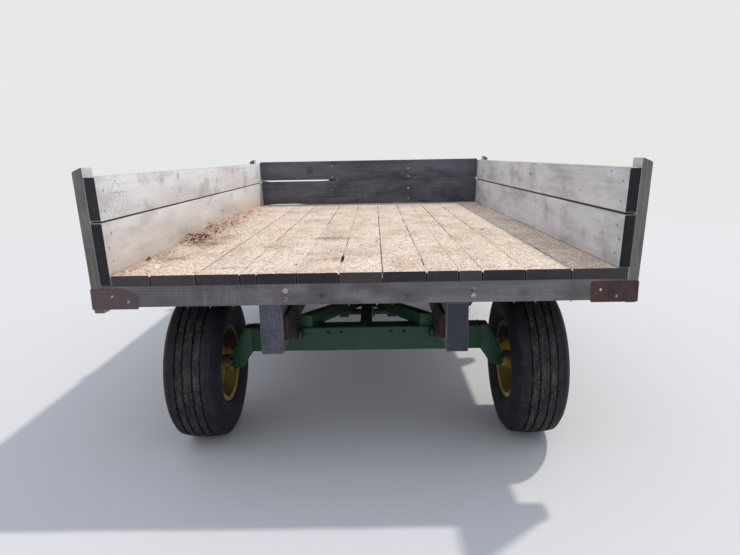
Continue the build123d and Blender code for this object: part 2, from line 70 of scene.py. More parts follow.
def arithmetic(operation, swapped=False):
    def method(self, other):
        return self.maths(operation, *((other, self) if swapped else (self, other)))

    return method


class Signal:  # wraps a socket, so that shader maths reads as plain arithmetic
    def __init__(self, tree, socket=None):
        self.tree = tree
        self.socket = socket

    def node(self, kind, settings=None, inputs=None, output=0):
        made = self.tree.nodes.new(kind)
        for name, value in (settings or {}).items():
            setattr(made, name, value)
        for name, value in (inputs or {}).items():
            if isinstance(value, Signal):
                self.tree.links.new(value.socket, made.inputs[name])
            else:
                made.inputs[name].default_value = value
        return Signal(self.tree, made.outputs[output])

    def maths(self, operation, *values):
        return self.node("ShaderNodeMath", {"operation": operation}, dict(enumerate(values)))

    def vector(self, operation, *values, output="Vector"):
        values = dict(enumerate((self, *values)))
        return self.node("ShaderNodeVectorMath", {"operation": operation}, values, output)

    __add__, __radd__ = arithmetic("ADD"), arithmetic("ADD", True)
    __sub__, __rsub__ = arithmetic("SUBTRACT"), arithmetic("SUBTRACT", True)
    __mul__, __rmul__ = arithmetic("MULTIPLY"), arithmetic("MULTIPLY", True)
    __truediv__, __pow__ = arithmetic("DIVIDE"), arithmetic("POWER")
    least = arithmetic("MINIMUM")

    def __abs__(self):
        return self.maths("ABSOLUTE", self)

    def smooth(self, low, high):  # 0 below low, 1 above high, eased between
        values = {"Value": self, "From Min": low, "From Max": high}
        return self.node("ShaderNodeMapRange", {"interpolation_type": "SMOOTHSTEP"}, values)

    def fades(self, low, high):  # 1 below low, 0 above high
        return 1 - self.smooth(low, high)

    def moved(self, other):
        return self.vector("ADD", other)

    def scaled(self, scale):
        return self.vector("MULTIPLY", scale if isinstance(scale, tuple) else (scale,) * 3)

    def length(self):
        return self.vector("LENGTH", output="Value")

    def parts(self):
        split = self.tree.nodes.new("ShaderNodeSeparateXYZ")
        self.tree.links.new(self.socket, split.inputs[0])
        return [Signal(self.tree, split.outputs[place]) for place in range(3)]

    def grain(self, scale=1, detail=4.0, roughness=0.6, distortion=0.0):
        values = {"Vector": self.scaled(scale), "Scale": 1.0, "Detail": detail}
        values.update({"Roughness": roughness, "Distortion": distortion})
        return self.node("ShaderNodeTexNoise", {}, values)

    def blend(self, first, second):  # self is the share of the second
        return self.node("ShaderNodeMix", {"data_type": "RGBA"}, {0: self, 6: first, 7: second}, 2)

    def ramp(self, stops):
        made = self.tree.nodes.new("ShaderNodeValToRGB")
        elements = made.color_ramp.elements
        while len(elements) < len(stops):
            elements.new(1.0)
        for element, (place, colour) in zip(elements, stops):
            element.position = place
            element.color = colour
        self.tree.links.new(self.socket, made.inputs[0])
        return Signal(self.tree, made.outputs[0])

    def attribute(self, name, output="Vector"):
        return self.node("ShaderNodeAttribute", {"attribute_name": name}, {}, output)

    def coordinate(self, name):
        return self.node("ShaderNodeTexCoord", {}, {}, name)

    def joined(self, x, y, z):
        return self.node("ShaderNodeCombineXYZ", {}, {"X": x, "Y": y, "Z": z})


def newFinish(name, look):
    material = bpy.data.materials.new(name)
    material.use_nodes = True
    start = Signal(material.node_tree)
    return material, palette(look), start, start.coordinate("Object")


def dress(material, body, roughness, bump, fixed):
    # bump: the height, its strength and its depth in metres; fixed: other values of the shader
    shader = material.node_tree.nodes["Principled BSDF"]
    sockets = {"Base Color": body, "Roughness": roughness}
    if bump:
        height, strength, depth = bump
        values = {"Strength": strength, "Distance": depth, "Height": height}
        sockets["Normal"] = body.node("ShaderNodeBump", {}, values)
    for name, signal in sockets.items():
        signal.tree.links.new(signal.socket, shader.inputs[name])
    for name, value in fixed.items():
        shader.inputs[name].default_value = value
    return material


# What the timbers share. A mark is a knot's place, size and strength, and with no strength a whorl. Places
# are across, along from the bed's rear face, and up. A spill is a stain on the deck, given in the same way.
anyTimber = {
    "shade": 0.0, "clinging": 0.3, "splash": 0.0, "chaffAmount": 0.25, "dustAmount": 0.1, "ringPitch": 16.0,
    "fibreDepth": 0.5, "seamShade": 0.0, "seamShadeOffTops": 0.0, "seamShadeWide": 0.004, "litSidesPainted": 0.0, "seamShadeNarrowLeft": 0.0,
    "spill": (158, 128, 108), "spills": [], "marks": [],
}
sideLook = {
    **anyTimber, "light": (234, 233, 233), "mid": (214, 212, 211), "dark": (174, 171, 169),
    "crack": (88, 80, 75), "knot": (120, 112, 108), "dust": (204, 184, 160), "under": (140, 132, 124),
    "end": (34, 33, 38), "endLight": (56, 54, 58), "rimLight": (96, 92, 90), "chaffLight": (244, 238, 230),
    "stain": (170, 167, 169), "stainAmount": 0.55, "clinging": 0.8, "splash": 0.8, "chaffAmount": 0.3,
    "saw": 0.5, "contrast": 0.3, "dustAmount": 0.12, "ringPitch": 15.0, "fibreDepth": 0.4,
    "crackStart": 0.745, "seamShade": 0.62, "seamShadeNarrowLeft": 3.0,
    "marks": [
        ((-1.14, 0.19, 1.31), 0.15, 0.0), ((-1.14, 0.78, 1.36), 0.05, 0.9), ((-1.14, 1.05, 1.37), 0.035, 0.9),
        ((1.14, 0.55, 1.34), 0.1, 0.0), ((1.13, 1.36, 1.16), 0.028, 1.0), ((1.13, 1.12, 1.13), 0.032, 1.0),
        ((1.13, 0.46, 1.06), 0.06, 0.8), ((1.14, 1.9, 1.29), 0.03, 0.8), ((1.13, 2.1, 1.07), 0.03, 0.7),
    ],
}
deckLook = {
    **anyTimber, "light": (222, 202, 180), "mid": (200, 178, 156), "dark": (142, 118, 98),
    "crack": (84, 70, 58), "knot": (124, 103, 86), "dust": (243, 224, 203), "under": (132, 118, 104),
    "end": (48, 46, 49), "endLight": (76, 72, 72), "rimLight": (106, 100, 96), "chaffLight": (255, 248, 234),
    "stain": (194, 164, 140), "stainAmount": 1.0, "clinging": 0.0, "chaffAmount": 1.35, "saw": 0.2,
    "contrast": 0.6, "dustAmount": 0.9, "ringPitch": 15.0, "fibreDepth": 0.35, "crackStart": 0.76,
    "seamShade": 0.92, "seamShadeOffTops": 0.9, "seamShadeWide": 0.009,
    "spills": [
        ((-0.97, 0.92), 0.15, 0.9), ((-0.9, 1.22), 0.12, 0.6), ((-1.00, 0.43), 0.085, 0.7),
        ((-0.21, 1.07), 0.13, 0.9), ((-0.5, 0.72), 0.1, 0.45), ((-0.42, 2.05), 0.14, 0.4),
        ((-0.12, 0.33), 0.09, 0.4), ((-1.08, 0.2), 0.07, 0.5),
    ],
    "marks": [
        ((-0.36, 1.78, 0.971), 0.06, 0.4), ((0.12, 0.62, 0.971), 0.05, 0.3),
        ((-0.2, 1.08, 0.971), 0.1, 0.7),
    ],
}
headLook = {
    **anyTimber, "light": (112, 111, 118), "mid": (90, 90, 98), "dark": (62, 62, 71),
    "crack": (34, 33, 38), "knot": (54, 50, 54), "dust": (120, 112, 106), "under": (90, 88, 92),
    "end": (66, 63, 64), "endLight": (92, 88, 86), "rimLight": (104, 100, 96), "chaffLight": (134, 126, 118),
    "stain": (60, 63, 78), "stainAmount": 0.6, "clinging": 0.4, "chaffAmount": 0.16, "saw": 0.6,
    "contrast": 1.2, "crackStart": 0.72, "seamShade": 0.5,
    "marks": [
        ((-0.62, 3.61, 1.32), 0.05, 0.8), ((0.78, 3.61, 1.06), 0.04, 0.8), ((0.1, 3.61, 1.08), 0.035, 0.8),
    ],
}
beamLook = {
    **anyTimber, "light": (144, 141, 142), "mid": (116, 113, 116), "dark": (80, 77, 82),
    "crack": (42, 40, 44), "knot": (40, 38, 46), "dust": (132, 122, 112), "under": (104, 100, 102),
    "end": (52, 54, 64), "endLight": (122, 122, 134), "rimLight": (126, 122, 128),
    "chaffLight": (150, 142, 134), "stain": (96, 84, 76), "stainAmount": 0.75, "shade": 0.9, "saw": 1.1,
    "contrast": 0.75, "crackStart": 0.725,
    "marks": [
        ((0.711, 0.0, 0.866), 0.03, 1.0), ((0.196, 0.0, 0.853), 0.11, 1.0), ((0.06, 0.0, 0.884), 0.045, 0.7),
        ((-0.185, 0.0, 0.864), 0.1, 1.0), ((-0.7, 0.0, 0.9), 0.035, 0.5), ((0.93, 0.0, 0.9), 0.03, 0.5),
    ],
}
stakeLook = {
    **anyTimber, "light": (142, 140, 134), "mid": (118, 116, 112), "dark": (84, 82, 80),
    "crack": (46, 42, 43), "knot": (70, 62, 58), "dust": (136, 126, 112), "under": (118, 116, 112),
    "end": (150, 146, 138), "endLight": (190, 184, 174), "rimLight": (206, 200, 190),
    "chaffLight": (164, 158, 148), "stain": (98, 94, 90), "stainAmount": 0.5, "saw": 0.6, "contrast": 1.3,
    # litSidesPainted: painted light, the stakes' sides that face across made paler
    "ringPitch": 18.0, "fibreDepth": 0.6, "crackStart": 0.72, "litSidesPainted": 0.6,
}

# Noises of the timber: scale across, along and through a board, detail, roughness and distortion. Those of
# the dirt run on from board to board.
boardNoise = {
    "wander": ((2.2, 0.8, 2.2), 3.0, 0.5), "fibre": ((210, 4.5, 210), 6.0, 0.72),
    "streak": ((42, 1.1, 42), 5.0, 0.62), "blotch": ((6, 1.6, 6), 5.0, 0.62),
    "sawn": ((9, 96, 9), 3.0, 0.62, 0.6), "sawnArea": ((3.4, 2.1, 3.4), 3.0, 0.6),
    "smear": ((2.4, 21, 2.4), 3.0, 0.6, 0.8), "cracking": ((95, 0.85, 95), 2.0, 0.5),
    "checking": ((60, 60, 14), 3.0, 0.6),
}
dirtNoise = {
    "stains": ((2.6, 2.6, 6.0), 5.0, 0.65), "dustField": ((3.2, 2.2, 3.2), 7.0, 0.68),
    "chaff": ((150, 110, 150), 3.0, 0.7), "drift": ((30, 22, 30), 4.0, 0.7),
    "patches": ((4.6, 3.2, 4.6), 7.0, 0.7), "fleck": ((62, 40, 62), 4.0, 0.72), "sawWander": (9, 2.0, 0.5),
}


def timberFinish(name, look):
    material, look, start, spot = newFinish(name, look)
    spotX, spotZ = spot.parts()[::2]
    place = start.attribute("boardPlace")
    across, along, through = place.parts()
    seed, halfWidth, length = start.attribute("boardData").parts()
    endGrain = start.attribute("endGrain", "Fac")
    capRim = start.attribute("capRim", "Fac")
    facing = start.coordinate("Normal").parts()
    upward = facing[2].smooth(0.55, 0.85)
    leftward = spotX.fades(-0.4, 0.4)
    # the grain of one board
    grainPlace = place.moved(start.joined(seed * 13.1, seed * 57.3, seed * 31.7))
    wander, fibre, streak, blotch, sawn, sawnArea, smear, cracking, checking = [
        grainPlace.grain(*values) for values in boardNoise.values()
    ]
    stains, dustField, chaff, drift, patches, fleck, sawWander = [
        spot.grain(*values) for values in dirtNoise.values()
    ]
    sawnHere = sawnArea.smooth(0.38, 0.62)
    ringX = across + seed * 0.3 - 0.15 + (wander - 0.5) * 0.1
    ringZ = through + 0.05 + (wander - 0.5) * 0.05
    turn = start.joined(ringX, 0.0, ringZ).length() * look["ringPitch"] * 5.0
    ring = turn.maths("FRACT", turn)
    lateWood = ring.smooth(0.45, 0.95) * ring.fades(0.95, 1.0)
    knotPlace = {"Vector": grainPlace.scaled((4.2, 1.25, 4.2)), "Scale": 1.0}
    knotCell = start.node("ShaderNodeTexVoronoi", {}, knotPlace, "Distance")
    knotCore = knotCell.fades(0.03, 0.075)
    crack = cracking.smooth(look["crackStart"], look["crackStart"] + 0.035)
    tone = streak * 0.3 + blotch * 0.7 + (seed - 0.5) * 0.12
    tone = tone + ((sawn - 0.5) * 0.3 + (smear - 0.5) * 0.22) * sawnHere * look["saw"]
    knotHalo = knotCell.fades(0.05, 0.2)
    tone = tone + ((fibre - 0.5) * 0.42 - lateWood * 0.07) * look["contrast"] - knotHalo * 0.06
    body = tone.ramp([(0.28, look["dark"]), (0.45, look["mid"]), (0.64, look["light"])])

    def cover(amount, colour):
        nonlocal body
        body = amount.blend(body, look[colour] if isinstance(colour, str) else colour)

    cover(knotCore * 0.7, "knot")
    cover(crack * 0.8, "crack")
    cover(stains.smooth(0.5, 0.66) * look["stainAmount"], "stain")
    for (markX, markY, markZ), size, strength in look["marks"]:
        # a dark middle with the grain running round it
        away = spot.moved((-markX, -markY - bedRear, -markZ)).length()
        rough = away + (wander - 0.5) * size * 0.9 + (streak - 0.5) * size * 0.5
        turned = rough.maths("SINE", rough * (26.0 / size))
        near = rough.fades(size * 0.35, size * 1.2)
        cover(turned.smooth(0.2, 1.0) * near * (0.36 - 0.18 * strength), "dark")
        cover(near * blotch.smooth(0.38, 0.6) * 0.55 * strength, "dark")
        cover(rough.fades(size * 0.06, size * 0.3) * 0.75 * strength, "knot")
    # darker edges and ends, and painted light on the sides that face across
    rim = halfWidth - abs(across)
    rimDark = rim.fades(0.0, 0.006) * (0.4 + streak * 0.6)
    endDark = along.least(length - along).fades(0.0, 0.12) * streak.smooth(0.38, 0.62)
    cover((rimDark * 0.45 + endDark * 0.4).least(0.8), "dark")
    # painted light: faces that look across are blended towards the pale side-board colour
    cover(abs(facing[0]).smooth(0.6, 0.9) * look["litSidesPainted"], seen(*sideLook["light"]))
    # dust, splashes, stains and chaff
    lies = (upward + look["clinging"]).least(1.0)
    dust = dustField.smooth(0.66 - 0.5 * look["dustAmount"], 0.78 - 0.2 * look["dustAmount"])
    dust = dust * look["dustAmount"] * (1 - crack * 0.6) * (0.7 + chaff * 0.6) * lies
    cover(dust, "dust")
    thrown = spotZ.fades(deckTop - 0.02, deckTop + 0.3) * leftward
    cover(thrown * look["splash"] * (0.35 + drift * 0.7), "dust")
    cover(drift.smooth(0.52, 0.66) * look["stainAmount"] * dust * 0.7, "stain")
    flecked = upward * look["stainAmount"]
    cover(patches.smooth(0.48, 0.58) * flecked * 0.6, "stain")
    for (spillX, spillY), size, strength in look["spills"]:
        away = spot.moved((-spillX, -spillY - bedRear, -deckTop)).scaled((1.0, 0.7, 1.0)).length()
        spread = (away + (drift - 0.5) * size * 1.6).fades(size * 0.3, size)
        cover(spread * (0.5 + chaff * 0.6) * strength, "spill")
    cover(fleck.smooth(0.54, 0.62) * flecked * 0.9, "stain")
    cover((1 - fleck).smooth(0.55, 0.64) * flecked * 0.75, "chaffLight")
    chaffThere = lies * look["chaffAmount"] * (0.35 + dustField)
    cover(chaff.smooth(0.54, 0.66) * chaffThere, "chaffLight")
    cover((1 - chaff).smooth(0.55, 0.68) * chaffThere, "dark")
    # painted shade on the sides in a seam and on the undersides, and the sawn ends
    # painted shade: board sides in a seam are darkened with the end colour, in a narrower band on the left
    # and less on tops
    inSeamShade = (rim * (1 + leftward * look["seamShadeNarrowLeft"])).fades(0.001, look["seamShadeWide"])
    cover(inSeamShade * (1 - upward * look["seamShadeOffTops"]) * spotZ.fades(1.36, 1.38) * look["seamShade"], "end")
    # painted shade: faces that look down are darkened towards the under colour
    below = tone.smooth(0.3, 0.62).blend(seen(*beamLook["dark"]), look["under"])
    cover(facing[2].fades(-0.9, -0.6) * look["stainAmount"] * 0.82, below)
    slant = across * 0.35 * (seed - 0.5) + sawWander * 0.014
    sawMark = start.joined(across * 7.0, sawWander * 2.0, (through + slant) * 240.0).grain(1, 3.0, 0.6)
    endTone = sawMark * 0.3 + streak * 0.2 + blotch * 0.26 + fibre * 0.2 + lateWood * 0.03
    endTone = endTone + (seed - 0.5) * 0.26
    side, body = body, endTone.smooth(0.3, 0.7).blend(look["end"], look["endLight"])
    cover(spotX.smooth(0.0, 0.4) * look["shade"], "end")
    cover((capRim + (fibre - 0.5) * 0.8).smooth(0.45, 0.95) * 0.75, "rimLight")
    cover(checking.smooth(0.66, 0.7) * 0.8, "crack")
    body = endGrain.blend(side, body)
    height = fibre * 0.35 + streak * 0.35 - lateWood * 0.22 - crack * 1.0 - knotCore * 0.25
    height = height * (1 - endGrain) + (sawMark * 0.5 + lateWood * 0.4) * endGrain
    bump = height, look["fibreDepth"], 0.002
    return dress(material, body, 0.95 - tone * 0.18, bump, {"Specular IOR Level": 0.22})


paintLook = {
    "gear": {"paint": (10, 66, 42), "faded": (20, 78, 52), "dirt": (46, 56, 48), "rust": (66, 48, 40)},
    "wheel": {"paint": (190, 158, 46), "faded": (168, 144, 66), "dirt": (92, 80, 54), "rust": (46, 32, 28),
              # painted shade over the wheel's upper part, in the dark rust colour
              "shadeFrom": -0.36, "upperShadeAmount": 0.95},
    "hoist": {"paint": (34, 50, 42), "faded": (52, 66, 56), "dirt": (84, 74, 62), "rust": (80, 50, 34)},
    "brown": {"paint": (84, 56, 42), "faded": (104, 76, 60), "dirt": (98, 84, 68), "rust": (92, 54, 34)},
}


def paintFinish(name, look):
    # shadeFrom: the height above which painted shade in the dark rust colour covers the paint, with the wheel
    # standing in its rest pose
    look = {"shadeFrom": 0.0, "upperShadeAmount": 0.0, **look}
    material, look, start, place = newFinish(name, look)
    upward = start.coordinate("Normal").parts()[2]
    cloud = place.grain(6, 5.0, 0.6)
    speck = place.grain(70, 4.0, 0.6)
    chip = place.grain(22, 6.0, 0.7).smooth(0.63, 0.67)
    dirt = (cloud * 0.5 + speck * 0.5 + upward * 0.22).smooth(0.46, 0.72)
    # painted shade: above shadeFrom the paint turns to the dark rust colour
    rusty = place.moved((0, 0, look["shadeFrom"])).parts()[2] * 9.0 + (cloud - 0.5) * 3.0
    body = cloud.smooth(0.35, 0.7).blend(look["paint"], look["faded"])
    body = (rusty.smooth(0.0, 0.6) * look["upperShadeAmount"]).blend(body, look["rust"])
    body = (chip * 0.9).blend(body, look["rust"])
    body = (dirt * 0.7).blend(body, look["dirt"])
    bump = speck * 0.3 - chip * 0.7, 0.35, 0.0012
    return dress(material, body, 0.5 + dirt * 0.35 + chip * 0.1, bump, {})


rustLook = {"deep": (42, 33, 34), "brown": (66, 50, 47), "orange": (88, 62, 54), "grey": (102, 89, 92)}
oldSteelLook = {"deep": (30, 25, 27), "brown": (46, 37, 38), "orange": (60, 47, 44), "grey": (62, 56, 60)}


def rustFinish(name, look):
    material, look, start, place = newFinish(name, look)
    cloud = place.grain(14, 6.0, 0.65)
    pit = place.grain(150, 5.0, 0.7)
    stops = zip((0.3, 0.48, 0.62, 0.74), (look[key] for key in ("deep", "brown", "orange", "grey")))
    body = (cloud * 0.65 + pit * 0.35).ramp(list(stops))
    body = (place.parts()[0].fades(-0.9, 0.4) * 0.7).blend(body, look["grey"])
    bump = pit * 0.7 + cloud * 0.3, 0.6, 0.0015
    return dress(material, body, 0.62 + pit * 0.35, bump, {"Metallic": 0.15})


steelLook = {"bright": (128, 122, 116), "dull": (86, 78, 72), "grease": (36, 32, 30)}


def steelFinish(name, look):
    material, look, start, place = newFinish(name, look)
    cloud = place.grain(20, 5.0, 0.6)
    body = cloud.ramp([(0.34, look["grease"]), (0.5, look["dull"]), (0.68, look["bright"])])
    scratch = place.grain((220, 60, 220), 3.0, 0.6)
    return dress(material, body, 0.35 + cloud * 0.35, (scratch, 0.25, 0.0006), {"Metallic": 0.75})


rubberLook = {
    "black": (13, 16, 28), "worn": (33, 35, 46), "dust": (104, 90, 78), "mud": (150, 146, 138),
    "treadEdge": 0.366, "treadHalf": 0.064, "notches": 66.0, "notchDepth": 0.5,
}


def rubberFinish(name, look):
    material, look, start = newFinish(name, look)[:3]
    place = start.attribute("wheelPlace")
    side, forward, up = place.parts()
    radius = (forward * forward + up * up) ** 0.5
    angle = up.maths("ARCTAN2", up, forward) / tau
    cloud = place.grain(9, 6.0, 0.65)
    speck = place.grain(130, 4.0, 0.7)
    scuffed = start.joined(side * 260.0, angle * 34.0, radius * 90.0).grain(1, 4.0, 0.65)
    onTread = radius.smooth(look["treadEdge"], look["treadEdge"] + 0.008)
    onRibs = onTread * (1 - abs(side).smooth(look["treadHalf"] - 0.002, look["treadHalf"] + 0.01) * 0.8)
    body = (cloud * 0.3 + speck * 0.3 + scuffed * 0.4).smooth(0.42, 0.6).blend(look["black"], look["worn"])
    dust = (cloud * 0.2 + speck * 0.4 + scuffed * 0.4).smooth(0.47, 0.62) * (0.05 + onRibs * 0.74)
    body = dust.blend(body, look["dust"])
    mud = place.grain(85, 4.0, 0.7).smooth(0.66, 0.71) * cloud.smooth(0.46, 0.6)
    body = (mud * 0.55).blend(body, look["mud"])
    turns = angle * look["notches"]
    notch = abs(turns.maths("FRACT", turns + 200.0) - 0.5).fades(0.06, 0.14)
    notch = notch * onTread * abs(side).smooth(0.08, 0.088)
    body = (notch * 0.6).blend(body, look["black"])
    bump = speck * 0.3 - notch * look["notchDepth"], 0.5, 0.0016
    return dress(material, body, 0.72 + dust * 0.25, bump, {"Specular IOR Level": 0.3})


chromeLook = {"dull": (150, 148, 146), "bright": (205, 206, 208)}


def chromeFinish(name, look):
    material, look, start, place = newFinish(name, look)
    cloud = place.grain(18, 4.0, 0.6)
    body = cloud.ramp([(0.3, look["dull"]), (0.7, look["bright"])])
    return dress(material, body, 0.14 + cloud * 0.2, None, {"Metallic": 1.0})


litterLook = {
    "deep": (96, 77, 75), "leaf": (176, 142, 126), "straw": (218, 192, 168), "pale": (242, 226, 206),
    "red": (142, 72, 50),
}


def litterFinish(name, look):
    # each leaf, straw and crumb carries its own number, which picks its colour
    material, look, start, place = newFinish(name, look)
    tone = start.attribute("litterTone", "Fac")
    mottle = place.grain(240, 3.0, 0.6)
    stops = zip((0.06, 0.34, 0.62, 0.88), (look[key] for key in ("deep", "leaf", "straw", "pale")))
    body = tone.smooth(0.985, 0.99).blend((tone + (mottle - 0.5) * 0.35).ramp(list(stops)), look["red"])
    return dress(material, body, 0.82 + mottle * 0.15, (mottle, 0.4, 0.0008), {"Specular IOR Level": 0.2})


zincLook = {"pale": (196, 194, 190), "dull": (140, 136, 131), "rust": (116, 78, 54)}
rustedZincLook = {"pale": (150, 138, 126), "dull": (122, 104, 90), "rust": (104, 70, 50)}


def zincFinish(name, look):
    material, look, start, place = newFinish(name, look)
    cloud = place.grain(90, 4.0, 0.6)
    rusted = place.grain(34, 4.0, 0.65).smooth(0.5, 0.6)
    body = cloud.smooth(0.36, 0.62).blend(look["dull"], look["pale"])
    body = (rusted * 0.8).blend(body, look["rust"])
    roughness = 0.38 + rusted * 0.4 + cloud * 0.1
    return dress(material, body, roughness, (cloud, 0.3, 0.0005), {"Metallic": 0.55})


finishes = {
    "side_wood": timberFinish("weatheredSideBoard", sideLook),
    "deck_wood": timberFinish("dustyDeckPlank", deckLook),
    "head_wood": timberFinish("greyHeadboard", headLook),
    "beam_wood": timberFinish("roughSawnBeam", beamLook),
    "gear_paint": paintFinish("greenGearPaint", paintLook["gear"]),
    "wheel_paint": paintFinish("yellowWheelPaint", paintLook["wheel"]),
    "hoist_paint": paintFinish("darkHoistPaint", paintLook["hoist"]),
    "brown_steel": paintFinish("brownStakePaint", paintLook["brown"]),
    "rusty_steel": rustFinish("rustyPlate", rustLook),
    "bare_steel": steelFinish("greasySteel", steelLook),
    "tyre": rubberFinish("wornRubber", rubberLook),
    "rod_chrome": chromeFinish("rodChrome", chromeLook),
    "stake_wood": timberFinish("greyStake", stakeLook),
    "litter": litterFinish("leafLitter", litterLook),
    "old_steel": rustFinish("darkOldSteel", oldSteelLook),
    "zinc": zincFinish("dullZinc", zincLook),
    "rusted_zinc": zincFinish("rustedZinc", rustedZincLook),
}
print("finishes made:", len(finishes))

for entry in frame["record"]["subparts"]:
    node = frame["nodes"][entry["node"]]
    node.data.materials.clear()
    node.data.materials.append(finishes[entry["material_slot"]])


def span(points, axis):
    values = [point[axis] for point in points]
    return min(values), max(values)


def uneven(x, y, z):
    return noise.noise(Vector((x, y, z)))


def makeMesh(name, points, faces, fields):
    # fields: a number or a triple for each point, by the name that the finishes read
    mesh = bpy.data.meshes.new(name)
    mesh.from_pydata([tuple(point) for point in points], [], faces)
    for label, values in fields.items():
        if isinstance(values[0], float):
            mesh.attributes.new(label, "FLOAT", "POINT").data.foreach_set("value", values)
        else:
            flat = [part for value in values for part in value]
            mesh.attributes.new(label, "FLOAT_VECTOR", "POINT").data.foreach_set("vector", flat)
    mesh.update()
    return mesh


def fixNormals(mesh):
    work = bmesh.new()
    work.from_mesh(mesh)
    bmesh.ops.recalc_face_normals(work, faces=work.faces)
    work.to_mesh(mesh)
    work.free()


def ringFaces(size, count, base=0, rows=None, closed=False):
    # the faces between rings of points, with a cap at each end or joined round in a circle
    faces = []
    for row in rows or range(count if closed else count - 1):
        low, high = base + row * size, base + (row + 1) % count * size
        turns = [(step, (step + 1) % size) for step in range(size)]
        faces += [(low + step, low + after, high + after, high + step) for step, after in turns]
    if not closed:
        faces.append(tuple(base + step for step in reversed(range(size))))
        faces.append(tuple(base + (count - 1) * size + step for step in range(size)))
    return faces


def gridFaces(rows, across):
    lows = [row * (across + 1) + step for row in range(rows) for step in range(across)]
    return [(low, low + 1, low + across + 2, low + across + 1) for low in lows]


def newObject(name, data):
    made = bpy.data.objects.new(name, data)
    bpy.context.scene.collection.objects.link(made)
    return made


def addPiece(name, mesh, body, slotName, replaced=(), smooth=None, finish=None):
    # smooth: the angle in degrees from which an edge stays sharp
    piece = newObject(name, mesh)
    mesh.materials.append(finishes[finish or slotName])
    if smooth:
        mesh.shade_smooth()
        mesh.set_sharp_from_angle(angle=radians(smooth))
    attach(piece, body)
    if replaced:
        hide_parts(*replaced)


axisOrder = {"X": (2, 0, 1), "Y": (0, 2, 1), "Z": (0, 1, 2)}  # where u, v and the length go
timberShape = {
    "cornerSteps": 2, "stationGap": 0.09, "endStations": (0.0, 0.002, 0.006, 0.02, 0.045), "wear": 0.003,
    "endRound": 0.003, "endReach": 0.004, "capRim": 0.005, "leastReach": 0.02,
}


def roundedRing(outline, radii):
    ring = []
    corners = [Vector(corner) for corner in outline]
    for index, corner in enumerate(corners):
        reach = radii[index]
        first = corner + (corners[index - 1] - corner).normalized() * reach
        last = corner + (corners[(index + 1) % len(corners)] - corner).normalized() * reach
        for step in range(timberShape["cornerSteps"] + 1):
            t = step / timberShape["cornerSteps"]
            ring.append(first * (1 - t) ** 2 + corner * 2 * t * (1 - t) + last * t ** 2)
    return ring


def wornRadii(corners, cornerRadius, t, seed):
    radii = []
    for corner in range(corners):
        worn = max(0.0, uneven(t * 5.0, corner * 7.3, seed * 91.0))
        splinter = max(0.0, uneven(t * 19.0, corner * 3.1, seed * 57.0))
        radii.append(cornerRadius + timberShape["wear"] * (worn + 0.6 * splinter))
    return radii


def timberStations(start, stop):
    # the places along a board where it has a ring of points, closer together near its ends
    near = timberShape["endStations"]
    count = max(2, round((stop - start) / timberShape["stationGap"]))
    middle = [start + (stop - start) * step / count for step in range(1, count)]
    middle = [t for t in middle if start + near[-1] + 0.01 < t < stop - near[-1] - 0.01]
    return [start + gap for gap in near] + middle + [stop - gap for gap in near]


def timberMesh(name, boards, cornerRadius, endPull, notch=None):
    # notch: a slot between two boards, as its middle, half width, start and stop
    verts, faces = [], []
    fields = {"boardPlace": [], "boardData": [], "endGrain": [], "capRim": []}
    capWide = timberShape["capRim"]
    for number, (outline, axis, start, stop) in enumerate(boards):
        picker = random.Random(f"{name}{number}")
        seed = picker.random()
        start += picker.random() * endPull
        stop -= picker.random() * endPull
        spans = [span(outline, place) for place in (0, 1)]
        centre = Vector([(low + high) / 2 for low, high in spans])
        widths = [high - low for low, high in spans]
        base = len(verts)
        stations = timberStations(start, stop)
        if notch:
            stations += [edge + slip for edge in notch[2:] for slip in (-0.0004, 0.0004)]
        rows = [(t, 0.0, 0.0) for t in sorted(stations)]
        rows = [(start, 1.0, capWide), (start, 1.0, 0.0)] + rows + [(stop, 1.0, 0.0), (stop, 1.0, capWide)]
        for t, isEnd, capInset in rows:
            ring = roundedRing(outline, wornRadii(len(outline), cornerRadius, t, seed))
            fromEnd = min(t - start, stop - t)
            inset = timberShape["endRound"] * max(0.0, 1 - fromEnd / timberShape["endReach"]) + capInset
            for point in ring:
                if notch and notch[2] < t < notch[3] and abs(point.x - notch[0]) < notch[1]:
                    point = Vector((notch[0] + copysign(notch[1], centre.x - notch[0]), point.y))
                offset = point - centre
                point = centre + offset * (1 - inset / max(offset.length, timberShape["leastReach"]))
                spot = (point.x, point.y, t)
                verts.append([spot[place] for place in axisOrder[axis]])
                first, second = point - centre
                wide, thick = (first, second) if widths[0] >= widths[1] else (second, first)
                fields["boardPlace"].append((wide, t - start, thick))
                fields["boardData"].append((seed, max(widths) / 2, stop - start))
                fields["endGrain"].append(isEnd)
                fields["capRim"].append(1.0 if isEnd and not capInset else 0.0)
        count = len(rows)
        faces += ringFaces(len(ring), count, base, [0, count - 2, *range(2, count - 3)])
    return makeMesh(name, verts, faces, fields)


def islands(node):
    # the separate solids of a CAD node, as lists of their points
    mesh = frame["nodes"][node].data
    spots = {}
    owner = list(range(len(mesh.vertices)))

    def root(index):
        while owner[index] != index:
            owner[index] = owner[owner[index]]
            index = owner[index]
        return index

    for vertex in mesh.vertices:
        key = tuple(round(part * 20000) for part in vertex.co)
        if key in spots:
            owner[root(vertex.index)] = root(spots[key])
        spots[key] = vertex.index
    for polygon in mesh.polygons:
        first = root(polygon.vertices[0])
        for other in polygon.vertices[1:]:
            owner[root(other)] = first
    groups = {}
    for vertex in mesh.vertices:
        groups.setdefault(root(vertex.index), []).append(vertex.co.copy())
    return list(groups.values())


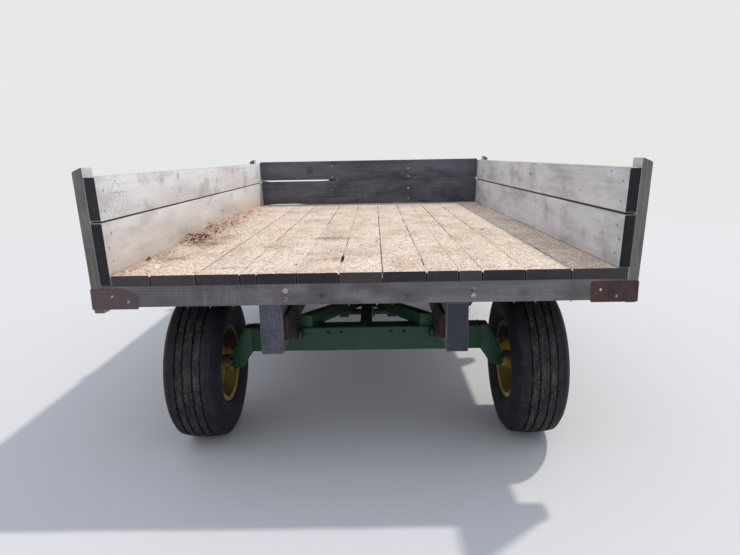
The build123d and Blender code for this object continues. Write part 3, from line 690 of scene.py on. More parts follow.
def islandBoards(node, axis):
    # each straight solid of a node as an outline swept along one axis
    boards = []
    u, v, w = [axisOrder[axis].index(place) for place in range(3)]
    for points in islands(node):
        start, stop = span(points, w)
        foot = [point for point in points if abs(point[w] - start) < 0.0005]
        corners = dict.fromkeys((round(point[u], 4), round(point[v], 4)) for point in foot)
        middle = Vector([sum(corner[place] for corner in corners) / len(corners) for place in (0, 1)])
        outline = sorted(corners, key=lambda corner: atan2(corner[1] - middle.y, corner[0] - middle.x))
        boards.append((outline, axis, start, stop))
    return sorted(boards, key=lambda board: board[0][0])


# each timber node: the way its boards run, its slot, its corners' radius and how unevenly its ends are cut
timbers = {
    "sills": ("Y", "beam_wood", 0.003, 0.002),
    "rear_cross_beam": ("X", "beam_wood", 0.003, 0.002),
    "cross_members": ("X", "beam_wood", 0.003, 0.004),
    "deck_planks": ("Y", "deck_wood", 0.0018, 0.006),
    "side_boards_left": ("Y", "side_wood", 0.002, 0.003),
    "side_boards_right": ("Y", "side_wood", 0.002, 0.003),
    "headboard_planks": ("X", "head_wood", 0.002, 0.004),
    "headboard_uprights": ("Z", "head_wood", 0.003, 0.002),
}
deckHole = (-0.109, 0.0078, bedRear + 0.264, bedRear + 0.412)  # its middle, half width, start and stop
wallLean = {"inner": 1.125, "rise": 0.018 / 0.435}  # the inner faces of the side boards, which lean outward
headFit = {
    "clear": 0.003, "taper": 0.045, "rim": 0.03, "seam": 1.219, "run": 0.06,
    "topLift": (0.018, 0.005), "topOpen": (-1.09, -0.4),
    "footDrop": (0.018, 0.012), "footOpen": (-1.03, -0.7),
}


def wallAt(up):
    return wallLean["inner"] + wallLean["rise"] * (up - deckTop)


def openStretch(x, stretch, closed, opened):
    # the closed value outside a stretch and the open one inside it, with a short run between them
    inside = min(x - stretch[0], stretch[1] - x) / headFit["run"]
    inside = max(0.0, min(1.0, inside + 0.5))
    return closed + (opened - closed) * inside


def fitHeadboard(mesh):
    # the lower board is wide enough to close most of its seams, and both end at the leaning side boards
    low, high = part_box("headboard_planks")
    lowBoardTop = min(vertex.co.z for vertex in mesh.vertices if vertex.co.z > headFit["seam"]) - 0.02
    for vertex in mesh.vertices:
        x, z = vertex.co.x, vertex.co.z
        if z < headFit["seam"] and z > lowBoardTop - headFit["rim"]:
            vertex.co.z += openStretch(x, headFit["topOpen"], *headFit["topLift"])
        elif z < low.z + headFit["rim"]:
            vertex.co.z -= openStretch(x, headFit["footOpen"], *headFit["footDrop"])
        share = max(0.0, (abs(x) - (high.x - headFit["taper"])) / headFit["taper"])
        vertex.co.x += copysign((wallAt(z) - headFit["clear"] - high.x) * share, x)


for node, (axis, slotName, cornerRadius, endPull) in timbers.items():
    boards = islandBoards(node, axis)
    mesh = timberMesh(node, boards, cornerRadius, endPull, deckHole if node == "deck_planks" else None)
    if node == "headboard_planks":
        fitHeadboard(mesh)
    fixNormals(mesh)
    addPiece(node + "_timber", mesh, "bed", slotName, (node,), 35)
    print("timber", node, len(boards), "boards", len(mesh.polygons), "faces")

stakeShape = {"corner": 0.003, "cutX": 0.022, "cutZ": 0.02, "cutReach": 0.05, "rightFoot": 0.014}


def addStakes(node):
    # a stake is built upright over its foot, its top's outer edge is cut, and then it leans
    sign = 1 if node.endswith("right") else -1
    outlines, leans = [], []
    for points in islands(node):
        lowZ, highZ = span(points, 2)
        foot = [point for point in points if point.z < lowZ + 0.001]
        head = [point for point in points if point.z > highZ - 0.001]
        lowX, highX = sorted(abs(edge) for edge in span(foot, 0))
        rear, front = span(foot, 1)
        lean = (min(abs(point.x) for point in head) - lowX) / (highZ - lowZ)
        outline = [(sign * lowX, rear), (sign * highX, rear), (sign * highX, front), (sign * lowX, front)]
        hidden = stakeShape["rightFoot"] if sign > 0 and rear < bedRear + 0.2 else 0.0
        outlines.append((outline, "Z", lowZ + hidden, highZ))
        leans.append(((rear + front) / 2, lowZ, highZ, lean, highX))
    mesh = timberMesh(node, outlines, stakeShape["corner"], 0.0)
    for vertex in mesh.vertices:
        middle, lowZ, highZ, lean, highX = min(leans, key=lambda entry: abs(entry[0] - vertex.co.y))
        outward = max(0.0, (abs(vertex.co.x) - (highX - stakeShape["cutX"])) / stakeShape["cutX"])
        fromTop = highZ - vertex.co.z
        if fromTop < stakeShape["cutReach"]:
            vertex.co.z -= outward * stakeShape["cutZ"] * (1 - fromTop / stakeShape["cutReach"])
        vertex.co.x += sign * lean * (vertex.co.z - lowZ)
    fixNormals(mesh)
    addPiece(node + "_timber", mesh, "bed", "side_wood", (node,), 35, "stake_wood")


addStakes("stakes_left")
addStakes("stakes_right")


def circle(middle, aside, other, radius, steps):
    turns = [step / steps * tau for step in range(steps)]
    return [middle + (aside * cos(turn) + other * sin(turn)) * radius for turn in turns]


class Shape:  # gathers the points and faces of one piece, and for litter the numbers that colour it
    def __init__(self):
        self.points, self.faces, self.tones = [], [], []

    def add(self, points, faces, *tone):
        base = len(self.points)
        self.points += [tuple(point) for point in points]
        self.faces += [tuple(base + index for index in face) for face in faces]
        self.tones += tone * len(points)

    def lathe(self, profile, place, axis, steps=32, closed=False):
        # profile: rows of (reach along the axis, radius)
        along = Vector(axis).normalized()
        aside = along.orthogonal().normalized()
        other = along.cross(aside)
        points = []
        for reach, radius in profile:
            points += circle(Vector(place) + along * reach, aside, other, radius, steps)
        self.add(points, ringFaces(steps, len(profile), closed=closed))

    def rod(self, start, stop, radius, steps, edge=0.0008):
        start, stop = Vector(start), Vector(stop)
        length = (stop - start).length
        profile = [(0, radius - edge), (edge, radius), (length - edge, radius), (length, radius - edge)]
        self.lathe(profile, start, stop - start, steps)

    def hexBolt(self, place, axis, across, tall, washer=0.0026):
        # washer and six-sided head
        corner = across / 2 / cos(pi / 6)
        rim = [(0, across * 0.78), (washer * 0.8, across * 0.78), (washer, across * 0.74), (washer, 0.001)]
        self.lathe(rim, place, axis, 24)
        head = [(washer, corner), (washer + tall * 0.8, corner), (washer + tall, corner * 0.86)]
        self.lathe(head, place, axis, 6)

    def domeBolt(self, place, axis, radius, tall):
        shares = ((0, 1), (0.25, 0.98), (0.6, 0.8), (0.9, 0.42), (1, 0.1))
        self.lathe([(tall * up, radius * out) for up, out in shares], place, axis, 20)

    def bead(self, corners, radius, step=0.0032, sides=6):
        # a weld: a rippled bead along a run of points
        corners = [Vector(corner) for corner in corners]
        path = []
        for start, stop in zip(corners, corners[1:]):
            count = max(1, round((stop - start).length / step))
            path += [start.lerp(stop, number / count) for number in range(count)]
        path.append(corners[-1])
        points = []
        for index, point in enumerate(path):
            ahead = path[min(index + 1, len(path) - 1)] - path[max(index - 1, 0)]
            aside = ahead.orthogonal().normalized()
            other = ahead.cross(aside).normalized()
            swell = radius * (0.86 + 0.22 * abs(sin(index * 1.1)) + 0.14 * noise.noise(point * 60))
            points += circle(point, aside, other, swell, sides)
        self.add(points, ringFaces(sides, len(path)))

    def place(self, name, body, slotName, smooth=None, finish=None, replaced=()):
        mesh = makeMesh(name, self.points, self.faces, {"litterTone": self.tones} if self.tones else {})
        if not self.tones:
            fixNormals(mesh)
        addPiece(name, mesh, body, slotName, replaced, smooth, finish)


def softened(node, edge):
    # a copy of a CAD node with its sharp edges rounded
    work = bmesh.new()
    work.from_mesh(frame["nodes"][node].data)
    bmesh.ops.remove_doubles(work, verts=work.verts, dist=0.00002)
    bmesh.ops.dissolve_limit(work, angle_limit=radians(0.5), verts=work.verts, edges=work.edges)
    sharp = [one for one in work.edges if len(one.link_faces) == 2 and one.calc_face_angle() > radians(32)]
    rounding = {"offset": edge, "segments": 2, "profile": 0.5, "affect": "EDGES", "clamp_overlap": True}
    bmesh.ops.bevel(work, geom=sharp, **rounding)
    mesh = bpy.data.meshes.new(node + "Soft")
    work.to_mesh(mesh)
    work.free()
    return mesh


slotOf = {entry["node"]: entry["material_slot"] for entry in frame["record"]["subparts"]}
bodyOf = {node: body for body, nodes in frame["record"]["behaviour"]["bodies"].items() for node in nodes}
softNodes = {
    "rear_axle_beam": 0.0015, "front_axle_beam": 0.0015,
    "rear_axle_brackets": 0.003, "front_axle_brackets": 0.003,
    "reach_tube": 0.0015, "rear_hounds": 0.003, "front_hounds": 0.003, "bolster_stakes": 0.002,
    "hoist_bracket": 0.002, "hinge_lugs": 0.002, "hinge_plates": 0.002, "steering_plate": 0.002,
    "knuckle_left": 0.002, "knuckle_right": 0.002, "tongue": 0.0015, "hoist_high_beam": 0.0015,
    "hoist_lugs": 0.0015, "tie_rod_left": 0.0012, "tie_rod_right": 0.0012,
    "hinge_pins": 0.001, "kingpins": 0.0015, "steering_pin": 0.002, "tongue_pin": 0.001,
    "hoist_low_shaft": 0.0015, "rear_spindles": 0.0015, "hoist_barrels": 0.0015, "hoist_rods": 0.0012,
}
hingePlate = {"lift": 0.047, "neck": 0.0285}


def boxCentre(node):
    low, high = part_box(node)
    return (low + high) / 2


def liftPlate(mesh):
    # behind the hinge's neck the plate stops a little above the sill's underside
    neckY = boxCentre("hinge_pins").y - hingePlate["neck"]
    for vertex in mesh.vertices:
        if vertex.co.y < neckY and vertex.co.z < sillLow.z + hingePlate["lift"]:
            vertex.co.z += hingePlate["lift"]


for node, edge in softNodes.items():
    mesh = softened(node, edge)
    if node == "hinge_plates":
        liftPlate(mesh)
    worn = "old_steel" if node in ("hinge_plates", "hinge_pins") else None
    addPiece(node + "_steel", mesh, bodyOf[node], slotOf[node], (node,), 35, worn)
print("steel pieces:", len(softNodes))

# Wheels. Rows along a wheel's axle are from its middle, outward positive, in metres.
tyreShape = {
    "steps": 216, "radius": 0.39, "treadHalf": 0.108, "crown": 0.012, "zigzag": 0.0012, "zigzags": 54,
    "grooves": [(0.019, 0.0272, 0.0125), (0.057, 0.0652, 0.0115)],
    "grooveLip": 0.0012, "grooveSlope": 0.0008,
    "bead": [(0.0895, 0.1903), (0.1017, 0.1903), (0.1017, 0.204), (0.104, 0.21)],
    "arc": ((0.104, 0.211), (0.1392, 0.3005), (0.1085, 0.377)),
    "rings": [(0.14, 0.0012), (0.19, 0.0012), (0.62, 0.001), (0.8, 0.0013), (0.86, 0.0013)],
    "ringHalf": 0.025, "sunk": 0.0012, "arcSteps": 44, "treadRows": (0.095, 0.085, 0.075), "ribGap": 0.004,
    "shoulder": [(0.107, 0.106, 0.0015), (0.104, 0.104, 0.0002)],
}


def arcRow(first, middle, last, count):
    # points on the circle through three points of a profile
    (ax, ay), (bx, by), (cx, cy) = first, middle, last
    twice = 2 * (ax * (by - cy) + bx * (cy - ay) + cx * (ay - by))
    squares = [ax * ax + ay * ay, bx * bx + by * by, cx * cx + cy * cy]
    ux = (squares[0] * (by - cy) + squares[1] * (cy - ay) + squares[2] * (ay - by)) / twice
    uy = (squares[0] * (cx - bx) + squares[1] * (ax - cx) + squares[2] * (bx - ax)) / twice
    size = hypot(ax - ux, ay - uy)
    start, stop = atan2(ay - uy, ax - ux), atan2(cy - uy, cx - ux)
    return [(start + (stop - start) * step / count, ux, uy, size, step / count) for step in range(count + 1)]


def tyreHalf():
    shape = tyreShape
    rows = [(reach, radius, 0) for reach, radius in shape["bead"]]
    for turn, ux, uy, size, part in arcRow(*shape["arc"], shape["arcSteps"]):
        raised = -shape["sunk"]
        for where, tall in shape["rings"]:
            raised += tall * max(0.0, 1 - abs(part - where) / shape["ringHalf"])
        rows.append((ux + cos(turn) * (size + raised), uy + sin(turn) * (size + raised), 0))

    def crown(reach):
        return shape["radius"] - shape["crown"] * (reach / shape["treadHalf"]) ** 2

    rows += [(reach, crown(over) - down, 0) for reach, over, down in shape["shoulder"]]
    rows += [(reach, crown(reach), 0) for reach in shape["treadRows"]]
    for low, high, deep in reversed(shape["grooves"]):
        side = [(shape["grooveLip"], 0.0), (0.0, shape["grooveLip"]), (-shape["grooveSlope"], deep)]
        rows += [(high + out, crown(high) - down, 1) for out, down in side]
        rows += [(low - out, crown(low) - down, 1) for out, down in reversed(side)]
        rows.append((low - shape["ribGap"], crown(low), 0))
    return rows


def tyreMesh(name, centre):
    half = tyreHalf()
    profile = half + [(-reach, radius, zig) for reach, radius, zig in reversed(half)]
    steps = tyreShape["steps"]
    places = []
    for reach, radius, zig in profile:
        for step in range(steps):
            turn = step / steps * tau
            wave = tyreShape["zigzag"] * zig * (1 if step * tyreShape["zigzags"] * 2 // steps % 2 else -1)
            places.append(Vector((reach + wave, cos(turn) * radius, sin(turn) * radius)))
    faces = ringFaces(steps, len(profile), closed=True)
    mesh = makeMesh(name, [centre + place for place in places], faces, {"wheelPlace": places})
    fixNormals(mesh)
    return mesh


rimRows = [
    (0.108, 0.2), (0.11, 0.202), (0.11, 0.205), (0.1085, 0.206), (0.104, 0.206), (0.1022, 0.204),
    (0.102, 0.192), (0.1, 0.19), (0.055, 0.19), (0.04, 0.172), (-0.02, 0.172), (-0.035, 0.19), (-0.1, 0.19),
    (-0.102, 0.192), (-0.1022, 0.204), (-0.104, 0.206), (-0.1085, 0.206), (-0.11, 0.2045), (-0.11, 0.2),
    (-0.107, 0.199), (-0.1062, 0.186), (-0.104, 0.1842), (-0.037, 0.184), (-0.022, 0.166), (0.04, 0.166),
    (0.0455, 0.13), (0.045, 0.124), (0.032, 0.108), (0.03, 0.105), (0.03, 0.044), (0.036, 0.044),
    (0.036, 0.102), (0.0375, 0.1045), (0.051, 0.12), (0.0515, 0.129), (0.0475, 0.166), (0.057, 0.184),
    (0.103, 0.1842), (0.106, 0.186), (0.1062, 0.198),
]
hubRows = [
    (-0.117, 0.0255), (-0.117, 0.0425), (-0.1155, 0.0435), (-0.1, 0.0435), (-0.099, 0.04), (0.006, 0.04),
    (0.009, 0.0435), (0.018, 0.045), (0.018, 0.0905), (0.0195, 0.092), (0.0285, 0.092), (0.03, 0.0905),
    (0.03, 0.0435), (0.0575, 0.0435), (0.059, 0.042), (0.059, 0.0375), (0.06, 0.037), (0.078, 0.0345),
    (0.08, 0.0325), (0.081, 0.03), (0.081, 0.0005), (0.079, 0.0005), (0.059, 0.001), (0.059, 0.0255),
]
wheelBolts = {
    "count": 6, "radius": 0.076, "face": 0.036, "across": 0.022, "tall": 0.012, "firstTurn": 0.26,
    "studFrom": 0.018, "studReach": 0.008, "studRadius": 0.007,
}
valve = {"radius": 0.1775, "reach": 0.072, "long": 0.034, "thick": 0.0042, "angle": 1.1, "lean": 0.45}


def addWheel(axle, side):
    label = f"{axle}_{side}"
    body = "wheel_" + label
    centre = boxCentre("tyre_" + label)
    mesh = tyreMesh("tyre_" + label, centre)
    addPiece(f"tyre_{label}_rubber", mesh, body, "tyre", ("tyre_" + label,), 40)
    outward = Vector((1 if side == "right" else -1, 0, 0))
    rim, hub, bolts = Shape(), Shape(), Shape()
    rim.lathe(rimRows, centre, outward, 96, True)
    aside = Vector((0, cos(valve["angle"]), sin(valve["angle"])))
    stem = centre + outward * valve["reach"] + aside * valve["radius"]
    thick, long = valve["thick"], valve["long"]
    profile = [(-0.006, thick * 1.7), (0.004, thick * 1.6), (0.008, thick), (long * 0.6, thick)]
    profile += [(long * 0.62, thick * 1.15), (long, thick * 1.1)]
    rim.lathe(profile, stem, (outward - aside * valve["lean"]).normalized(), 14)
    rim.place(f"rim_{label}_pressed", body, "wheel_paint", 30, None, ("rim_" + label,))
    hub.lathe(hubRows, centre, outward, 56, True)
    hub.place(f"hub_{label}_cast", body, "wheel_paint", 30, None, ("hub_" + label,))
    for number in range(wheelBolts["count"]):
        turn = number / wheelBolts["count"] * tau + wheelBolts["firstTurn"]
        arm = Vector((0, cos(turn), sin(turn))) * wheelBolts["radius"]
        head = centre + arm + outward * wheelBolts["face"]
        bolts.hexBolt(head, outward, wheelBolts["across"], wheelBolts["tall"])
        inner = centre + arm + outward * wheelBolts["studFrom"]
        bolts.rod(inner, inner - outward * wheelBolts["studReach"], wheelBolts["studRadius"], 14)
    bolts.place(f"wheel_bolts_{label}", body, "wheel_paint", 30, "zinc")


for axle in ("rear", "front"):
    for side in ("left", "right"):
        addWheel(axle, side)
print("wheels done")

# Corner plates: outlines and bolts are from each plate's inner lower corner, across outward and up
cornerPlate = {
    "thick": 0.0034, "wide": 0.209, "tall": 0.095, "cut": 0.067, "cutDrop": 0.031, "corner": 0.004,
    "edge": 0.001, "bow": 0.0003,
    "leftBolts": [(0.042, 0.035), (0.113, 0.059)], "rightBolts": [(0.041, 0.057), (0.112, 0.028)],
    "boltRadius": 0.0066, "boltTall": 0.0025, "boltSunk": 0.0004,
}


def addCornerPlates():
    plates, bolts = Shape(), Shape()
    low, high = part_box("corner_plates")
    plate = cornerPlate
    wide, tall, thick = plate["wide"], plate["tall"], plate["thick"]
    for sign, way in ((-1, -1), (-1, 1), (1, -1), (1, 1)):
        faceY = bedRear if way < 0 else bedFront
        inner = sign * (high.x - wide)
        outline = [(0.0, 0.0), (wide, 0.0), (wide, tall), (0.0, tall)]
        if sign < 0 and way < 0:
            outline[3:] = [(plate["cut"], tall), (0.0, tall - plate["cutDrop"])]
        rounded = roundedRing(outline, [plate["corner"]] * len(outline))
        middle = Vector((wide / 2, tall / 2))
        points = []
        for depth, inset in ((0.0, 0.0), (thick - plate["edge"], 0.0), (thick, plate["edge"])):
            for point in rounded:
                point = point - (point - middle).normalized() * inset
                bow = plate["bow"] * uneven(point.x * 9, point.y * 9, sign)
                y = faceY + way * max(0.0, depth + bow * (depth > 0))
                points.append((inner + sign * point.x, y, low.z + point.y))
        plates.add(points, ringFaces(len(rounded), 3))
        for across, up in plate["leftBolts" if sign < 0 else "rightBolts"]:
            spot = (inner + sign * across, faceY + way * (thick - plate["boltSunk"]), low.z + up)
            bolts.domeBolt(spot, (0, way, 0), plate["boltRadius"], plate["boltTall"])
    plates.place("corner_plates_bent", "bed", "rusty_steel", 35, None, ("corner_plates",))
    bolts.place("corner_plate_bolts", "bed", "rusty_steel", 40, "zinc")


addCornerPlates()

# Nails and bolts of the bed. Places are across, along from the bed's rear face, and up from the ground.
wallNails = {
    "radius": 0.0058, "tall": 0.0018, "sunk": 0.0008, "slip": 0.01, "tilt": 0.25,
    "both": [
        (0.066, 1.346), (0.052, 1.256), (0.195, 1.383), (0.076, 1.153), (0.039, 1.094), (0.064, 1.028),
        (1.802, 1.372), (1.846, 1.262), (1.812, 1.16), (1.851, 1.09), (1.822, 1.026),
        (3.586, 1.365), (3.597, 1.27), (3.59, 1.15), (3.598, 1.04),
    ],
    "rightOnly": [(0.212, 1.102), (0.808, 1.166), (1.109, 1.151), (0.567, 1.276)],
    "leftOnly": [(0.94, 1.3), (2.64, 1.27), (2.7, 1.12)],
}


def stray(picker, reach):
    return picker.uniform(-reach, reach)


def addWallNails():
    nails = Shape()
    picker = random.Random(5)
    radius, tall, tilt = [wallNails[key] for key in ("radius", "tall", "tilt")]
    for side, extra in ((-1, "leftOnly"), (1, "rightOnly")):
        for along, up in wallNails["both"] + wallNails[extra]:
            slip = 0.0 if side < 0 else stray(picker, wallNails["slip"])
            spot = Vector((side * wallAt(up), bedRear + along + slip, up))
            inward = Vector((-side, 0, wallLean["rise"])).normalized()
            turned = Vector((0, stray(picker, tilt), stray(picker, tilt)))
            nails.domeBolt(spot - inward * wallNails["sunk"], inward + turned, radius, tall)
    nails.place("wall_nails", "bed", "rusty_steel", 40)


addWallNails()

beamBolts = {
    "pale": [(-0.348, 0.891), (0.49, 0.857)], "rusty": [(-0.346, 0.853), (0.486, 0.888)],
    "across": 0.0155, "tall": 0.0038, "washer": 0.0014, "nutTall": 0.01,
}
nailTips = {
    "places": [-0.794, -0.694, -0.589, -0.067, 0.06, 0.127, 0.673, 0.77, -1.02, 0.93],
    "radius": 0.0026, "long": 0.013, "rearSlip": 0.034, "stray": 0.03, "lean": 0.2,
}
deckNails = {
    "rows": [0.049, 0.9395, 1.83, 2.7205, 3.59], "radius": 0.0054, "tall": 0.0012, "fromEdge": 0.03,
    "sunk": 0.0006, "strayAcross": 0.008, "strayAlong": 0.018, "lean": 0.08,
}


def addBeamFasteners():
    for name, finish in (("pale", "zinc"), ("rusty", "rusted_zinc")):
        bolts = Shape()
        for across, up in beamBolts[name]:
            outer = (across, bedRear, up)
            bolts.hexBolt(outer, (0, -1, 0), beamBolts["across"], beamBolts["tall"], beamBolts["washer"])
            inner = (across, bedRear + crossHigh.y - crossLow.y, up)
            bolts.hexBolt(inner, (0, 1, 0), beamBolts["across"], beamBolts["nutTall"])
        bolts.place(f"beam_bolts_{name}", "bed", "rusty_steel", 30, finish)
    tips, heads = Shape(), Shape()
    picker = random.Random(17)
    radius, long = nailTips["radius"], nailTips["long"]
    for row in deckNails["rows"]:
        atRear = row == deckNails["rows"][0]
        for across in nailTips["places"]:
            across += 0.0 if atRear else stray(picker, nailTips["stray"])
            y = bedRear + row - (nailTips["rearSlip"] if atRear else 0.0)
            lean = Vector((stray(picker, nailTips["lean"]), stray(picker, nailTips["lean"]), -1))
            profile = [(0, radius), (long * 0.7, radius * 0.9), (long, 0.0004)]
            tips.lathe(profile, (across, y, crossLow.z + 0.001), lean, 8)
    for points in islands("deck_planks"):
        lowX, highX = span(points, 0)
        for row in deckNails["rows"]:
            for across in (lowX + deckNails["fromEdge"], highX - deckNails["fromEdge"]):
                x = across + stray(picker, deckNails["strayAcross"])
                y = bedRear + row + stray(picker, deckNails["strayAlong"])
                lean = Vector((stray(picker, deckNails["lean"]), stray(picker, deckNails["lean"]), 1))
                spot = (x, y, deckTop - deckNails["sunk"])
                heads.domeBolt(spot, lean, deckNails["radius"], deckNails["tall"])
    tips.place("nail_tips", "bed", "rusty_steel", 40, "zinc")
    heads.place("deck_nails", "bed", "rusty_steel", 40)


addBeamFasteners()

headBolts = {
    "places": [
        (-0.384, 1.369), (-0.388, 1.255), (-0.391, 1.119), (-0.395, 1.025),
        (0.414, 1.334), (0.414, 1.251), (0.414, 1.126), (0.414, 1.021),
    ],
    "radius": 0.0105, "tall": 0.0052, "thick": 0.048, "sunk": 0.0004, "nutAcross": 0.017, "nutTall": 0.009,
    "end": (0.008, 0.018), "endRadius": 0.005,
}


def addHeadBolts():
    bolts = Shape()
    thick = headBolts["thick"]
    for across, up in headBolts["places"]:
        inner = (across, bedFront - thick + headBolts["sunk"], up)
        bolts.domeBolt(inner, (0, -1, 0), headBolts["radius"], headBolts["tall"])
        outer = Vector((across, bedFront + thick, up))
        bolts.hexBolt(outer, (0, 1, 0), headBolts["nutAcross"], headBolts["nutTall"])
        start, stop = [outer + Vector((0, reach, 0)) for reach in headBolts["end"]]
        bolts.rod(start, stop, headBolts["endRadius"], 12)
    bolts.place("headboard_bolts", "bed", "rusty_steel", 40, "zinc")


addHeadBolts()
print("bed fasteners done")

# Welds and fasteners of the running gear. Runs and places are across, along from the bed's rear face, and up,
# in metres; each is given for the right side and mirrored.
weldRadius = 0.003
chassisWelds = [
    [(0.6045, 0.4175, 0.466), (0.6045, 0.4175, 0.5935), (0.6045, 0.5025, 0.5935), (0.6045, 0.5025, 0.466)],
    [(0.5685, 2.9235, 0.466), (0.5685, 2.9235, 0.5935), (0.5685, 2.9965, 0.5935), (0.5685, 2.9965, 0.466)],
    [(0.285, 0.4175, 0.5945), (0.362, 0.4175, 0.5945)], [(0.362, 0.42, 0.5945), (0.294, 0.51, 0.5945)],
    [(0.285, 3.0025, 0.5945), (0.362, 3.0025, 0.5945)], [(0.362, 3.000, 0.5945), (0.294, 2.91, 0.5945)],
    [(0.284, 0.42, 0.5945), (0.228, 0.51, 0.5945)], [(0.284, 3.000, 0.5945), (0.228, 2.91, 0.5945)],
    [(0.0325, 0.823, 0.5925), (0.0325, 0.861, 0.5925)], [(0.0325, 2.597, 0.5925), (0.0325, 2.559, 0.5925)],
    [(0.0, 0.5105, 0.594), (0.0325, 0.5105, 0.594), (0.0325, 0.5105, 0.528), (0.0, 0.5105, 0.528)],
    [(0.0, 2.9095, 0.594), (0.0325, 2.9095, 0.594), (0.0325, 2.9095, 0.528), (0.0, 2.9095, 0.528)],
    [(0.033, 1.1895, 0.531), (0.033, 1.1895, 0.585), (0.033, 1.3105, 0.585), (0.033, 1.3105, 0.531)],
    [(0.33, 0.4095, 0.55), (0.33, 0.4095, 0.592)], [(0.3475, 0.4095, 0.55), (0.3475, 0.4095, 0.592)],
    [(0.48, 0.4295, 0.594), (0.5425, 0.4295, 0.594), (0.5425, 0.4905, 0.594), (0.48, 0.4905, 0.594)],
    [(0.48, 2.9295, 0.594), (0.5425, 2.9295, 0.594), (0.5425, 2.9905, 0.594), (0.48, 2.9905, 0.594)],
]
spindleWeld = {"across": 0.7185, "along": 0.46, "up": 0.39, "radius": 0.0262, "steps": 24}
lugWelds = {"sides": (0.112, 0.13, 0.19, 0.208), "along": (2.577, 2.637), "up": 0.7755}


def gearSpot(side, place):
    across, along, up = place
    return Vector((side * across, bedRear + along, up))


def addWelds():
    gear, bed = Shape(), Shape()
    weld = spindleWeld
    ring = []
    for step in range(weld["steps"] + 1):
        turn = step % weld["steps"] / weld["steps"] * tau
        along, up = weld["along"] + weld["radius"] * cos(turn), weld["up"] + weld["radius"] * sin(turn)
        ring.append((weld["across"], along, up))
    lugs = [[(across, along, lugWelds["up"]) for along in lugWelds["along"]] for across in lugWelds["sides"]]
    for side in (-1, 1):
        for shape, runs in ((gear, chassisWelds + [ring]), (bed, lugs)):
            for run in runs:
                shape.bead([gearSpot(side, place) for place in run], weldRadius)
    gear.place("gear_welds", "chassis", "gear_paint", 50)
    bed.place("hoist_lug_welds", "bed", "gear_paint", 50)


addWelds()

# each row: the body, the finish, the way the head faces, its size across, its height, and its places
gearBolts = [
    ("bed", "rusty_steel", "old_steel", (-1, 0, 0), 0.019, 0.008,
     [(0.3527, 0.105, 0.73), (0.3527, 0.225, 0.73), (0.3527, 0.165, 0.672)]),
    ("bed", "rusty_steel", "zinc", (1, 0, 0), 0.019, 0.012,
     [(0.471, 0.105, 0.73), (0.471, 0.225, 0.73), (0.471, 0.165, 0.672)]),
    ("bed", "rusty_steel", "zinc", (1, 0, 0), 0.022, 0.012, [(0.471, 2.582, 0.801), (0.471, 2.632, 0.801)]),
    ("chassis", "bare_steel", None, (1, 0, 0), 0.03, 0.01, [(0.21, 1.25, 0.44)]),
    ("chassis", "gear_paint", "zinc", (0, 0, 1), 0.022, 0.01, [(0.511, 0.46, 0.605)]),
]
paleBolt = {"place": (0.373, 0.059, 0.742), "radius": 0.0075, "tall": 0.0035}
nipple = {
    "fromEnd": 0.015,
    "rows": [(0, 0.0065), (0.004, 0.0065), (0.005, 0.003), (0.01, 0.003), (0.012, 0.0042), (0.0145, 0.002)],
}
rodNuts = {
    "axisDrop": 0.012, "lock": (0.08, 0.648), "eye": (0.035, 0.695), "eyeAcross": 0.017, "eyeTall": 0.007,
    "rows": [(-0.008, 0.0125), (-0.006, 0.0145), (0.006, 0.0145), (0.008, 0.0125)],
}


def addGearBolts():
    for number, (body, slotName, finish, axis, across, tall, places) in enumerate(gearBolts):
        bolts = Shape()
        for side in (-1, 1):
            for place in places:
                bolts.hexBolt(gearSpot(side, place), (side * axis[0], axis[1], axis[2]), across, tall)
        bolts.place(f"gear_bolts_{number}", body, slotName, 30, finish)
    pale = Shape()
    pale.domeBolt(gearSpot(1, paleBolt["place"]), (-1, 0, 0), paleBolt["radius"], paleBolt["tall"])
    pale.place("sill_bolt", "bed", "beam_wood", 40, "zinc")
    # a grease nipple under each kingpin and a lock nut at each end of the tie rods
    nipples = Shape()
    low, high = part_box("kingpins")
    for side in (-1, 1):
        foot = (side * (high.x - nipple["fromEnd"]), (low.y + high.y) / 2, low.z)
        nipples.lathe(nipple["rows"], foot, (0, 0, -1), 14)
    nipples.place("kingpin_nipples", "chassis", "bare_steel", 35, "zinc")
    for side, name in ((-1, "tie_rod_left"), (1, "tie_rod_right")):
        low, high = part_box(name)
        nuts = Shape()
        middle = Vector((0, (low.y + high.y) / 2, high.z - rodNuts["axisDrop"]))
        for reach in rodNuts["lock"]:
            nuts.lathe(rodNuts["rows"], middle + Vector((side * reach, 0, 0)), (1, 0, 0), 6)
        for reach in rodNuts["eye"]:
            top = middle + Vector((side * reach, 0, rodNuts["axisDrop"]))
            nuts.hexBolt(top, (0, 0, 1), rodNuts["eyeAcross"], rodNuts["eyeTall"])
        nuts.place(name + "_nuts", bodyOf[name], slotOf[name], 30, "zinc")


addGearBolts()

# Splinters and saw scratches on the sills' rear ends: across, up, and how thick
sillScratches = [
    ([(-0.369, 0.772), (-0.3705, 0.758), (-0.3685, 0.735), (-0.372, 0.716), (-0.3755, 0.702),
      (-0.3705, 0.688), (-0.377, 0.669)], 0.0012),
    ([(-0.455, 0.75), (-0.446, 0.726), (-0.438, 0.706)], 0.0009), ([(-0.461, 0.786), (-0.457, 0.77)], 0.0007),
    ([(-0.956, 0.828), (-0.933, 0.843), (-0.916, 0.855), (-0.896, 0.86), (-0.883, 0.848),
      (-0.866, 0.829)], 0.0011),
    ([(0.398, 0.703), (0.425, 0.686), (0.455, 0.678)], 0.0007),
    ([(0.394, 0.64), (0.43, 0.634), (0.458, 0.633)], 0.0007),
    ([(0.396, 0.742), (0.428, 0.735), (0.452, 0.741)], 0.0006),
    ([(0.4, 0.664), (0.436, 0.655), (0.452, 0.656)], 0.0006),
]


